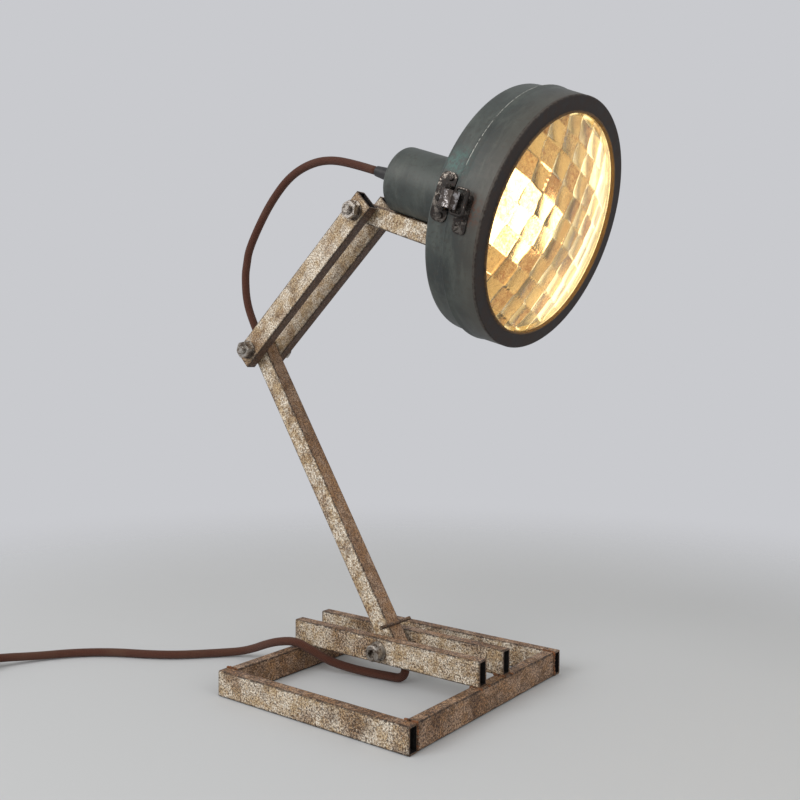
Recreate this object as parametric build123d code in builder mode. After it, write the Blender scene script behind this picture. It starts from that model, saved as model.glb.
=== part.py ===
from build123d import *
import os
from math import cos, radians, sin, tan

os.makedirs("parts", exist_ok=True)

# Lamp on a welded base, with two arms that fold in one upright plane and a round head.
# X runs along the base, Y runs to the back, Z is up, and the origin is under the base's middle.
# Lengths are in millimetres and angles in degrees.

# Tube stock
FLAT_HEIGHT = 20.0
FLAT_WIDTH = 10.0
BOX_SIDE = 16.0
TUBE_WALL = 1.5
TUBE_CORNER = 1.2
CORE_CORNER = 0.4

# Base frame and the two rails on it
BASE_LENGTH = 184.0
BASE_WIDTH = 212.0
ARM_Y = 6.0
RAIL_LENGTH = 185.0
RAIL_X = -3.0

# Pivots, arms and their headings, measured from +X towards +Z
FOOT_X = -5.0
LOWER_PITCH = 283.0
LOWER_HEADING = 121.9
LOWER_OVERHANG = 9.0
UPPER_PITCH = 164.5
UPPER_HEADING = 42.5
UPPER_OVERHANG = 12.0
HEAD_HEADING = -20.0
HEAD_ARM_TAIL = 10.0
HEAD_REACH = 166.5
HEAD_ARM_SETBACK = 62.5
HEAD_ARM_REACH = HEAD_REACH - HEAD_ARM_SETBACK
STOP_ROD_DIAMETER = 3.0
STOP_ROD_LENGTH = 38.0
STOP_ROD_HEIGHT = 15.0

# Pivot hardware
BOLT_DIAMETER = 8.0
BOLT_POINT = 1.0
BOLT_TIP = 2.9
BORE_PLAY = 0.05
SIDE_PLAY = 0.1
WASHER_DIAMETER = 16.0
WASHER_THICKNESS = 1.6
NUT_FLATS = 13.0
NUT_HEIGHT = 6.5
NUT_BEVEL = 0.8
NUT_FACE_DIAMETER = 13.4
FOOT_TURN = 11.0
ELBOW_TURN = 8.0
WRIST_TURN = 22.0
BOLT_HEAD_HEIGHT = 5.3
SOCKET_HEAD_DIAMETER = 13.0
SOCKET_HEAD_HEIGHT = 8.0
SOCKET_FLATS = 6.0
SOCKET_DEPTH = 4.0
FOOT_SPACER = 4.0
ARM_SPACER = 2.0
SPACER_DIAMETER = 14.0

# Lamp head: stations along its axis are measured from the front face, forwards positive
SHEET = 1.5
FIT_GAP = 0.1
DRUM_RADIUS = 91.4
RIM_STEP = 0.1
RIM_LIP_STEP = 2.2
RIM_FRONT_RADIUS = DRUM_RADIUS + RIM_STEP
RIM_LIP_RADIUS = DRUM_RADIUS + RIM_LIP_STEP
RIM_DEPTH = 25.0
RIM_LIP_LENGTH = 4.0
RIM_TAPER = 1.2
SEAM_GAP = 0.4
LIP_BEAD = 1.0
SHELL_BACK = -43.5
SHELL_EDGE_RADIUS = 4.0
COLLAR_STATION = -59.5
COLLAR_RADIUS = 31.0
CUP_RADIUS = 26.2
CUP_BACK = -143.0
CUP_EDGE_RADIUS = 4.0
MOUNT_STATIONS = (-90.0, -120.0)
MOUNT_SCREW_RADIUS = 2.5
MOUNT_HEAD_RADIUS = 4.25
MOUNT_HEAD_HEIGHT = 2.6
MOUNT_NUT_LIFT = 0.45
FRONT_RING_WIDTH = 12.0
FRONT_RING_BORE = RIM_FRONT_RADIUS - FRONT_RING_WIDTH
FRONT_RING_THICKNESS = 2.2
FRONT_RING_EDGE = 0.8
LENS_INSET = 7.5
LENS_RADIUS = RIM_FRONT_RADIUS - LENS_INSET
LENS_THICKNESS = 4.0
LENS_RISE = 13.0
LENS_FLANGE = 4.5
GASKET_THICKNESS = 1.0
GASKET_INSET = 1.5
KEEPER_THICKNESS = 2.0
KEEPER_INSET = 0.8
REFLECTOR_SHEET = 0.8
REFLECTOR_FLANGE = 5.8
REFLECTOR_MOUTH = DRUM_RADIUS - SHEET - FIT_GAP - REFLECTOR_FLANGE
REFLECTOR_THROAT = 32.0
REFLECTOR_FRONT = -28.0
REFLECTOR_BACK = -52.0

# Bulb and its holder
BULB_RADIUS = 30.0
BULB_STATION = -38.0
BULB_GLASS = 0.8
BULB_SHOULDER = 125.0
BULB_NECK_RADIUS = 13.0
BULB_NECK_END = -86.0
CAP_RADIUS = 13.2
CAP_LENGTH = 24.0
CAP_TIP = 3.0
CAP_TIP_RADIUS = 5.0
CAP_TIP_BEVEL = 1.0
HOLDER_RADIUS = 20.0
HOLDER_FRONT = -84.5
HOLDER_BACK = -126.0
HOLDER_POST_RADIUS = 10.0
HOLDER_POST_WALL = 4.0
HOLDER_PLAY = 0.3

# Cord and its outlets
CORD_DIAMETER = 7.0
FLOOR_GAP = 0.1
MOUTH_RUN = 13.0
GLAND_RUN = 25.0
FOOT_DROP = 8.8
SWITCH_RUN = 12.0
CORE_WIRE_DIAMETER = 2.2
CORE_WIRE_OFFSET = 5.25
CORD_END_INSET = 4.6
FOOT_STUB_END = 12.2
FOOT_RUN_START = 13.0
GLAND_LENGTH = 28.0
GLAND_BASE_RADIUS = 9.0
GLAND_FLANGE = 3.0
GLAND_FLANGE_TAPER = 0.5
GLAND_NUT_RADIUS = 8.0
GLAND_ROOT_RADIUS = 6.4
GLAND_TIP_RADIUS = 4.3
GLAND_THREAD_RADIUS = 5.0

# Latch on the near side of the head
LATCH_PLATE = 1.2
LATCH_BACK = -41.0
LATCH_FRONT = -27.5
LATCH_HALF_HEIGHT = 16.5
LATCH_PIN_STATION = -30.0
LATCH_PIN_STANDOFF = 5.2
LATCH_PIN_DIAMETER = 3.0
LATCH_PLAY = 0.08
LATCH_CORNER = 5.0
LATCH_PIN_HEAD_RADIUS = 2.0
LATCH_RIVETS = ((-37.5, -1.5), (-32.5, -12.2), (-32.0, 13.0))
EAR_GAP = 13.0
EAR_RADIUS = 3.0
EAR_THICKNESS = 1.5
EAR_LEAN = 1.0
LEVER_WIDTH = 11.6
LEVER_NOSE = -18.5
LEVER_PLATE = 1.6
LEVER_DOME = 4.2
LEVER_NOSE_LIFT = 0.4
LEVER_BAR_RADIUS = 2.0
BAIL_PIVOT = -22.5
BAIL_WIRE = 2.2
BAIL_HALF_WIDTH = 8.4
BAIL_GRIP = 2.5
CATCH_DROP = 0.2
CATCH_FACE = -13.8
CATCH_WIDTH = 8.0
LUG_BACK = -20.6
LUG_FRONT = -10.5
LUG_TOP = 6.0
LUG_BOTTOM = -20.0
LUG_PLATE = 1.0
LUG_CORNER = 3.0
LUG_RIVETS = ((-18.0, -16.3), (-13.6, -9.5))
RIVET_RADIUS = 2.3
RIVET_HEIGHT = 1.3
RIVET_TAPER = 22.0

# Rim hinge on the far side of the head
HINGE_STATION = -25.2
HINGE_STANDOFF = 5.6
HINGE_PIN_DIAMETER = 3.0
HINGE_PIN_HEAD = 0.8
HINGE_KNUCKLE_RADIUS = 2.8
HINGE_HALF_HEIGHT = 9.0
HINGE_MIDDLE = 5.4
HINGE_LEAF = 1.2
HINGE_LEAF_LENGTH = 12.0
HINGE_ROLL = 2.4
HINGE_SHELL_RISE = 3.5
HINGE_RIM_RISE = 1.5
HINGE_LIP_REACH = 0.8
HINGE_PLAY = 0.3

# Line switch, coil and plug
SWITCH_LENGTH = 58.0
SWITCH_WIDTH = 26.0
SWITCH_HEIGHT = 15.0
SWITCH_ROUNDING = 5.0
SWITCH_WALL = 2.0
SWITCH_BEVEL = 1.2
ROCKER_LENGTH = 17.0
ROCKER_WIDTH = 9.0
ROCKER_PLAY = 0.3
ROCKER_DEPTH = 5.0
ROCKER_RISE = 1.4
ROCKER_PIN_DIAMETER = 2.0
ROCKER_PIVOT_DEPTH = 3.5
ROCKER_BOSS = 2.2
ROCKER_TILT = 6.0
SWITCH_START = (-295.6, -183.1)
SWITCH_HEADING = 247.5
COIL_LEAD = 46.0
COIL_OUTER = 46.0
COIL_PITCH = 8.0
COIL_LAYER = 7.6
COIL_TURNS_IN = 2
COIL_TURNS_OUT = 2
PLUG_LENGTH = 36.0
PLUG_WIDTH = 35.3
PLUG_THICKNESS = 13.7
PLUG_TAIL_WIDTH = 20.0
PLUG_TAIL_THICKNESS = 11.0
PLUG_CORNER = 4.0
PIN_DIAMETER = 4.0
PIN_LENGTH = 19.0
PIN_SPACING = 18.6
PLUG_ENTRY = (-16.0, 41.0)
PLUG_ENTRY_RADIUS = 4.5
PIN_BEVEL = 0.5
PLUG_CLEARANCE = 0.3
GAP_STEP = 2.0

# Sizes that follow from those above
BORE_RADIUS = BOLT_DIAMETER / 2 + BORE_PLAY
CORD_RADIUS = CORD_DIAMETER / 2
CORD_FLOOR = CORD_RADIUS + FLOOR_GAP
RAIL_INSET = BOX_SIDE / 2 + FOOT_SPACER
UPPER_INSET = BOX_SIDE / 2 + ARM_SPACER
HEAD_DROP = CUP_RADIUS + BOX_SIDE / 2 + BORE_PLAY


def heading(angle):
    """Unit vector in the arms' plane, at an angle from +X towards +Z."""
    return Vector(cos(radians(angle)), 0, sin(radians(angle)))


FOOT = Vector(FOOT_X, ARM_Y, 1.5 * FLAT_HEIGHT)
ELBOW = FOOT + heading(LOWER_HEADING) * LOWER_PITCH
WRIST = ELBOW + heading(UPPER_HEADING) * UPPER_PITCH
HEAD_AXIS = heading(HEAD_HEADING)
HEAD_UP = heading(HEAD_HEADING + 90)
HEAD_FRONT = WRIST + HEAD_AXIS * HEAD_REACH + HEAD_UP * HEAD_DROP
HEAD_LINE = Axis(HEAD_FRONT, HEAD_AXIS)
# On this plane x is the station along the head's axis, y points to the head's top, z to the viewer's side
HEAD_PLANE = Plane(origin=HEAD_FRONT, x_dir=HEAD_AXIS, z_dir=(0, -1, 0))


def save(piece, name):
    """Names a finished piece and writes it."""
    piece.part.label = name
    export_step(piece.part, f"parts/{name}.step")


# Tubes


def hollow_bar(plane, width, height, length, bores=()):
    """Tube along the plane's normal, with bolt bores through its width at the given distances."""
    with BuildPart() as bar:
        with BuildSketch(plane):
            RectangleRounded(width, height, TUBE_CORNER)
            RectangleRounded(width - 2 * TUBE_WALL, height - 2 * TUBE_WALL, CORE_CORNER, mode=Mode.SUBTRACT)
        extrude(amount=length)
        for distance in bores:
            centre = plane.origin + plane.z_dir * distance
            with BuildSketch(Plane(origin=centre, x_dir=plane.z_dir, z_dir=plane.x_dir)):
                Circle(BORE_RADIUS)
            extrude(amount=width, both=True, mode=Mode.SUBTRACT)
    return bar


def arm_bar(start, angle, out, width, height, tail, length, bores):
    """Tube in the arms' plane, its pivot at start, set out towards the viewer by out."""
    origin = start - heading(angle) * tail - Vector(0, out, 0)
    plane = Plane(origin=origin, x_dir=(0, 1, 0), z_dir=heading(angle))
    return hollow_bar(plane, width, height, length, bores)


def base_frame():
    """Four flat tubes on edge: front and back run the full length, the sides stand between them."""
    side_length = BASE_WIDTH - 2 * FLAT_WIDTH
    for name, side in (("base_front_tube", -1), ("base_back_tube", 1)):
        origin = (-BASE_LENGTH / 2, side * (BASE_WIDTH - FLAT_WIDTH) / 2, FLAT_HEIGHT / 2)
        plane = Plane(origin=origin, x_dir=(0, 1, 0), z_dir=(1, 0, 0))
        save(hollow_bar(plane, FLAT_WIDTH, FLAT_HEIGHT, BASE_LENGTH), name)
    for name, side in (("base_left_tube", -1), ("base_right_tube", 1)):
        origin = (side * (BASE_LENGTH - FLAT_WIDTH) / 2, -side_length / 2, FLAT_HEIGHT / 2)
        plane = Plane(origin=origin, x_dir=(-1, 0, 0), z_dir=(0, 1, 0))
        save(hollow_bar(plane, FLAT_WIDTH, FLAT_HEIGHT, side_length), name)


def rails():
    """Two flat tubes on the side tubes, with the lower arm's foot between them."""
    start_x = RAIL_X - RAIL_LENGTH / 2
    for name, side in (("rail_front", -1), ("rail_back", 1)):
        lateral = ARM_Y + side * (RAIL_INSET + FLAT_WIDTH / 2)
        plane = Plane(origin=(start_x, lateral, 1.5 * FLAT_HEIGHT), x_dir=(0, 1, 0), z_dir=(1, 0, 0))
        save(hollow_bar(plane, FLAT_WIDTH, FLAT_HEIGHT, RAIL_LENGTH, [FOOT_X - start_x]), name)


def arms():
    """Square lower arm and the upper arm's pair of flat tubes."""
    lower_length = LOWER_PITCH + 2 * LOWER_OVERHANG
    lower_bores = (LOWER_OVERHANG, LOWER_OVERHANG + LOWER_PITCH)
    lower = arm_bar(FOOT, LOWER_HEADING, 0, BOX_SIDE, BOX_SIDE, LOWER_OVERHANG, lower_length, lower_bores)
    save(lower, "lower_arm_tube")

    upper_length = UPPER_PITCH + 2 * UPPER_OVERHANG
    upper_bores = (UPPER_OVERHANG, UPPER_OVERHANG + UPPER_PITCH)
    for name, side in (("upper_arm_front_tube", 1), ("upper_arm_back_tube", -1)):
        out = side * (UPPER_INSET + FLAT_WIDTH / 2)
        upper = arm_bar(
            ELBOW, UPPER_HEADING, out, FLAT_WIDTH, FLAT_HEIGHT, UPPER_OVERHANG, upper_length, upper_bores
        )
        save(upper, name)


def stop_rod():
    """Thin rod welded across the lower arm's right face, just above the rails."""
    off_axis = (BOX_SIDE + STOP_ROD_DIAMETER) / 2
    centre = FOOT + heading(LOWER_HEADING) * STOP_ROD_HEIGHT + heading(LOWER_HEADING - 90) * off_axis
    with BuildPart() as rod:
        with BuildSketch(Plane(origin=centre, x_dir=(1, 0, 0), z_dir=(0, -1, 0))):
            Circle(STOP_ROD_DIAMETER / 2)
        extrude(amount=STOP_ROD_LENGTH / 2, both=True)
    save(rod, "arm_stop_rod")


# Bolts, nuts, washers and spacers


def pivot_plane(pivot, out, side):
    """Plane across a pivot's axis, out from the arms' plane on the viewer's side (1) or the far side (-1)."""
    return Plane(origin=pivot - Vector(0, side * out, 0), x_dir=(1, 0, 0), z_dir=(0, -side, 0))


def section_plane(plane):
    """Plane through the normal of another: x stays, y becomes the other's normal."""
    return Plane(origin=plane.origin, x_dir=plane.x_dir, z_dir=plane.x_dir.cross(plane.z_dir))


def ring_pair(pivot, out, diameter, thickness, name):
    """Two equal rings on a pivot's bolt, one on each side of the arms' plane, from out outwards."""
    with BuildPart() as pair:
        for side in (1, -1):
            with BuildSketch(pivot_plane(pivot, out, side)):
                Circle(diameter / 2)
                Circle(BORE_RADIUS, mode=Mode.SUBTRACT)
            extrude(amount=thickness)
    save(pair, name)


def spacer_pair(pivot, seat, gap, name):
    """Spacers seated on the outer tubes, with play at the tube in the middle."""
    thickness = gap - SIDE_PLAY
    ring_pair(pivot, seat - thickness, SPACER_DIAMETER, thickness, name)


def hexagon_block(plane, height, turn):
    """Hexagon with bevelled corners on its outer end."""
    bevel_radius = NUT_FACE_DIAMETER / 2
    with BuildPart() as block:
        with BuildSketch(plane):
            RegularPolygon(NUT_FLATS / 2, 6, major_radius=False, rotation=turn)
        extrude(amount=height)
        with BuildSketch(section_plane(plane)):
            with BuildLine():
                Polyline(
                    (0, 0),
                    (NUT_FLATS, 0),
                    (NUT_FLATS, height - NUT_BEVEL - (NUT_FLATS - bevel_radius) / 2),
                    (bevel_radius, height),
                    (0, height),
                    close=True,
                )
            make_face()
        revolve(axis=Axis(plane.origin, plane.z_dir), mode=Mode.INTERSECT)
    return block


def hexagon_nut(plane, turn, name):
    block = hexagon_block(plane, NUT_HEIGHT, turn)
    with BuildPart() as nut:
        add(block.part)
        with BuildSketch(plane):
            Circle(BORE_RADIUS)
        extrude(amount=NUT_HEIGHT, mode=Mode.SUBTRACT)
    save(nut, name)


def shank(plane, length):
    """Bolt shank that runs back from its head's seat, with a bevelled point."""
    radius = BOLT_DIAMETER / 2
    with BuildPart() as rod:
        with BuildSketch(section_plane(plane)):
            with BuildLine():
                Polyline(
                    (0, 0),
                    (radius, 0),
                    (radius, BOLT_POINT - length),
                    (radius - BOLT_POINT, -length),
                    (0, -length),
                    close=True,
                )
            make_face()
        revolve(axis=Axis(plane.origin, plane.z_dir))
    return rod


def hexagon_bolt(pivot, seat, length, turn, name):
    """Bolt with its hexagon head on the far side."""
    plane = pivot_plane(pivot, seat, -1)
    head = hexagon_block(plane, BOLT_HEAD_HEIGHT, turn)
    stem = shank(plane, length)
    with BuildPart() as bolt:
        add(head.part)
        add(stem.part)
    save(bolt, name)


def socket_bolt(pivot, seat, length, name):
    """Cap screw with its round socket head on the viewer's side."""
    plane = pivot_plane(pivot, seat, 1)
    stem = shank(plane, length)
    with BuildPart() as bolt:
        with BuildSketch(plane):
            Circle(SOCKET_HEAD_DIAMETER / 2)
        extrude(amount=SOCKET_HEAD_HEIGHT)
        chamfer(bolt.faces().sort_by(Axis.Y)[0].edges(), BOLT_POINT)
        with BuildSketch(plane.offset(SOCKET_HEAD_HEIGHT)):
            RegularPolygon(SOCKET_FLATS / 2, 6, major_radius=False, rotation=FOOT_TURN)
        extrude(amount=-SOCKET_DEPTH, mode=Mode.SUBTRACT)
        add(stem.part)
    save(bolt, name)


def pivots():
    """Hardware of the foot, the elbow and the wrist."""
    rail_face = RAIL_INSET + FLAT_WIDTH
    arm_face = UPPER_INSET + FLAT_WIDTH
    places = (("foot", FOOT, rail_face), ("elbow", ELBOW, arm_face), ("wrist", WRIST, arm_face))
    for joint, pivot, face in places:
        ring_pair(pivot, face, WASHER_DIAMETER, WASHER_THICKNESS, f"{joint}_washers")

    foot_seat = rail_face + WASHER_THICKNESS
    socket_bolt(FOOT, foot_seat, 2 * foot_seat + NUT_HEIGHT + BOLT_TIP - BOLT_POINT, "foot_bolt")
    hexagon_nut(pivot_plane(FOOT, foot_seat, -1), FOOT_TURN, "foot_nut")
    spacer_pair(FOOT, RAIL_INSET, FOOT_SPACER, "foot_spacers")

    arm_seat = arm_face + WASHER_THICKNESS
    arm_bolt_length = 2 * arm_seat + NUT_HEIGHT + BOLT_TIP
    for joint, pivot, turn in (("elbow", ELBOW, ELBOW_TURN), ("wrist", WRIST, WRIST_TURN)):
        hexagon_bolt(pivot, arm_seat, arm_bolt_length, turn, f"{joint}_bolt")
        hexagon_nut(pivot_plane(pivot, arm_seat, 1), turn, f"{joint}_nut")
        spacer_pair(pivot, UPPER_INSET, ARM_SPACER, f"{joint}_spacers")


# Head shell, cup, rim and glass


def turned_ring(points):
    """Solid turned about the head's axis from corners given as (station, radius)."""
    with BuildPart() as ring:
        with BuildSketch(HEAD_PLANE):
            with BuildLine():
                Polyline(*points, close=True)
            make_face()
        revolve(axis=HEAD_LINE)
    return ring


def rear_shell():
    """Rear half of the drum: a band, a rounded back edge and a shallow cone down to the cup."""
    front = -RIM_DEPTH - SEAM_GAP
    band = DRUM_RADIUS
    with BuildPart() as shell:
        with BuildSketch(HEAD_PLANE):
            with BuildLine():
                outline = FilletPolyline(
                    (front, band),
                    (SHELL_BACK, band),
                    (COLLAR_STATION, COLLAR_RADIUS),
                    (COLLAR_STATION, CUP_RADIUS - SHEET),
                    radius=[SHELL_EDGE_RADIUS, SHEET],
                )
                lining = FilletPolyline(
                    (front, band - SHEET),
                    (SHELL_BACK + SHEET, band - SHEET),
                    (COLLAR_STATION + SHEET, COLLAR_RADIUS),
                    (COLLAR_STATION + SHEET, CUP_RADIUS - SHEET),
                    radius=[SHELL_EDGE_RADIUS - SHEET, SHEET],
                )
                Line(outline @ 0, lining @ 0)
                Line(outline @ 1, lining @ 1)
            make_face()
        revolve(axis=HEAD_LINE)
        with BuildSketch(HEAD_PLANE):
            with Locations((front - LIP_BEAD, band)):
                Circle(LIP_BEAD)
            with Locations((front - LIP_BEAD, band - LIP_BEAD)):
                Rectangle(2 * LIP_BEAD, 2 * LIP_BEAD, mode=Mode.SUBTRACT)
        revolve(axis=HEAD_LINE)
    save(shell, "rear_shell")


def socket_cup():
    """Deep cup behind the drum, with a rounded closed end and a hole for the cord gland."""
    bore = GLAND_THREAD_RADIUS + BORE_PLAY
    with BuildPart() as cup:
        with BuildSketch(HEAD_PLANE):
            with BuildLine():
                outline = FilletPolyline(
                    (COLLAR_STATION, CUP_RADIUS),
                    (CUP_BACK, CUP_RADIUS),
                    (CUP_BACK, bore),
                    radius=CUP_EDGE_RADIUS,
                )
                lining = FilletPolyline(
                    (COLLAR_STATION, CUP_RADIUS - SHEET),
                    (CUP_BACK + SHEET, CUP_RADIUS - SHEET),
                    (CUP_BACK + SHEET, bore),
                    radius=CUP_EDGE_RADIUS - SHEET,
                )
                Line(outline @ 0, lining @ 0)
                Line(outline @ 1, lining @ 1)
            make_face()
        revolve(axis=HEAD_LINE)
        for station in MOUNT_STATIONS:
            with BuildSketch(mount_plane(station)):
                Circle(MOUNT_SCREW_RADIUS + BORE_PLAY)
            extrude(amount=2 * SHEET, both=True, mode=Mode.SUBTRACT)
    save(cup, "socket_cup")


def mount_plane(station):
    """Plane where the cup rests on its arm, its normal pointing up into the cup."""
    origin = HEAD_FRONT + HEAD_AXIS * station - HEAD_UP * CUP_RADIUS
    return Plane(origin=origin, x_dir=HEAD_AXIS, z_dir=HEAD_UP)


def head_arm():
    """Square tube under the cup, with holes in its top wall for the screws that hold the cup."""
    length = HEAD_ARM_TAIL + HEAD_ARM_REACH
    bar = arm_bar(WRIST, HEAD_HEADING, 0, BOX_SIDE, BOX_SIDE, HEAD_ARM_TAIL, length, [HEAD_ARM_TAIL])
    with BuildPart() as arm:
        add(bar.part)
        for station in MOUNT_STATIONS:
            with BuildSketch(mount_plane(station)):
                Circle(MOUNT_SCREW_RADIUS + BORE_PLAY)
            extrude(amount=-BOX_SIDE / 2, mode=Mode.SUBTRACT)
    save(arm, "head_arm_tube")


def mount_screws():
    """Two screws up through the arm's top wall and the cup, each with its nut inside the cup."""
    seat = TUBE_WALL + BORE_PLAY
    nut_seat = SHEET + MOUNT_NUT_LIFT
    with BuildPart() as screws:
        for station in MOUNT_STATIONS:
            plane = mount_plane(station)
            with BuildSketch(plane.offset(-seat)):
                Circle(MOUNT_SCREW_RADIUS)
            extrude(amount=seat + nut_seat + MOUNT_HEAD_HEIGHT)
            with BuildSketch(plane.offset(-seat)):
                Circle(MOUNT_HEAD_RADIUS)
            extrude(amount=-MOUNT_HEAD_HEIGHT)
            with BuildSketch(plane.offset(nut_seat)):
                RegularPolygon(MOUNT_HEAD_RADIUS, 6)
            extrude(amount=MOUNT_HEAD_HEIGHT)
    save(screws, "mount_screws")


def cord_gland():
    """Tapered strain relief on the cup's end, with its thread and lock nut inside."""
    inside = CUP_BACK + SHEET
    gland = turned_ring(
        [
            (inside + GLAND_FLANGE, 0),
            (inside + GLAND_FLANGE, GLAND_NUT_RADIUS),
            (inside, GLAND_NUT_RADIUS),
            (inside, GLAND_THREAD_RADIUS),
            (CUP_BACK, GLAND_THREAD_RADIUS),
            (CUP_BACK, GLAND_BASE_RADIUS),
            (CUP_BACK - GLAND_FLANGE, GLAND_BASE_RADIUS - GLAND_FLANGE_TAPER),
            (CUP_BACK - GLAND_FLANGE, GLAND_ROOT_RADIUS),
            (CUP_BACK - GLAND_LENGTH, GLAND_TIP_RADIUS),
            (CUP_BACK - GLAND_LENGTH, 0),
        ]
    )
    save(gland, "cord_gland")


def reflector():
    """Shallow bowl around the bulb, its flange just inside the shell's band."""
    middle_radius = (REFLECTOR_MOUTH + REFLECTOR_THROAT) / 2
    share = (middle_radius**2 - REFLECTOR_THROAT**2) / (REFLECTOR_MOUTH**2 - REFLECTOR_THROAT**2)
    middle_station = REFLECTOR_BACK + (REFLECTOR_FRONT - REFLECTOR_BACK) * share
    rim_radius = DRUM_RADIUS - SHEET - FIT_GAP
    with BuildPart() as bowl:
        with BuildSketch(HEAD_PLANE):
            with BuildLine():
                ends = []
                for back in (0, REFLECTOR_SHEET):
                    mouth = (REFLECTOR_FRONT - back, REFLECTOR_MOUTH + back)
                    middle = (middle_station - back, middle_radius + back)
                    throat = (REFLECTOR_BACK - back, REFLECTOR_THROAT)
                    edge = (REFLECTOR_FRONT - back, rim_radius)
                    ThreePointArc(mouth, middle, throat)
                    Line(edge, mouth)
                    ends.append((edge, throat))
                Line(ends[0][0], ends[1][0])
                Line(ends[0][1], ends[1][1])
            make_face()
        revolve(axis=HEAD_LINE)
    save(bowl, "reflector")


def bulb():
    """Globe bulb: hollow glass that tapers to a neck, and its screw cap."""
    turn = radians(BULB_SHOULDER)
    with BuildPart() as glass:
        with BuildSketch(HEAD_PLANE):
            with BuildLine():
                tips, ends = [], []
                for inset in (0, BULB_GLASS):
                    radius = BULB_RADIUS - inset
                    neck = BULB_NECK_RADIUS - inset
                    shoulder = (BULB_STATION + radius * cos(turn), radius * sin(turn))
                    taper = (shoulder[1] - neck) / -cos(turn)
                    neck_top = (shoulder[0] - taper * sin(turn), neck)
                    neck_end = (BULB_NECK_END, neck)
                    CenterArc((BULB_STATION, 0), radius, 0, BULB_SHOULDER)
                    Polyline(shoulder, neck_top, neck_end)
                    tips.append((BULB_STATION + radius, 0))
                    ends.append(neck_end)
                Line(*tips)
                Line(*ends)
            make_face()
        revolve(axis=HEAD_LINE)
    save(glass, "bulb_glass")

    cap_end = BULB_NECK_END - CAP_LENGTH
    cap = turned_ring(
        [
            (BULB_NECK_END, 0),
            (BULB_NECK_END, CAP_RADIUS),
            (cap_end + CAP_TIP, CAP_RADIUS),
            (cap_end, CAP_RADIUS - CAP_TIP),
            (cap_end, CAP_TIP_RADIUS),
            (cap_end - CAP_TIP, CAP_TIP_RADIUS - CAP_TIP_BEVEL),
            (cap_end - CAP_TIP, 0),
        ]
    )
    save(cap, "bulb_cap")


def lamp_holder():
    """Holder around the bulb's cap, on a hollow post from the cup's closed end."""
    bore = CAP_RADIUS + HOLDER_PLAY
    floor = BULB_NECK_END - CAP_LENGTH - CAP_TIP - HOLDER_PLAY
    holder = turned_ring(
        [
            (HOLDER_FRONT, bore),
            (HOLDER_FRONT, HOLDER_RADIUS),
            (HOLDER_BACK, HOLDER_RADIUS),
            (HOLDER_BACK, HOLDER_POST_RADIUS + HOLDER_POST_WALL),
            (CUP_BACK + SHEET, HOLDER_POST_RADIUS + HOLDER_POST_WALL),
            (CUP_BACK + SHEET, HOLDER_POST_RADIUS),
            (HOLDER_BACK, HOLDER_POST_RADIUS),
            (HOLDER_BACK, 0),
            (floor, 0),
            (floor, bore),
        ]
    )
    save(holder, "lamp_holder")


def rim_radius(station):
    """Outer radius of the rim's band ahead of its flared lip."""
    front = -FRONT_RING_THICKNESS
    back = -RIM_DEPTH + RIM_LIP_LENGTH
    share = (front - station) / (front - back)
    return RIM_FRONT_RADIUS + share * RIM_TAPER


def bezel():
    """Rim's band with a flared lip at the seam, and the flat ring on its front."""
    front = -FRONT_RING_THICKNESS
    flare = -RIM_DEPTH + RIM_LIP_LENGTH
    outline = [(front, RIM_FRONT_RADIUS), (flare, rim_radius(flare)), (-RIM_DEPTH, RIM_LIP_RADIUS)]
    lining = [(station, radius - SHEET) for station, radius in reversed(outline)]
    save(turned_ring(outline + lining), "bezel_band")

    ring = turned_ring(
        [
            (front, FRONT_RING_BORE),
            (FRONT_RING_EDGE, FRONT_RING_BORE),
            (FRONT_RING_EDGE, FRONT_RING_BORE + FRONT_RING_EDGE),
            (0, FRONT_RING_BORE + 2 * FRONT_RING_EDGE),
            (0, RIM_FRONT_RADIUS - FRONT_RING_EDGE),
            (-FRONT_RING_EDGE, RIM_FRONT_RADIUS),
            (front, RIM_FRONT_RADIUS),
        ]
    )
    save(ring, "front_ring")


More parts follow.
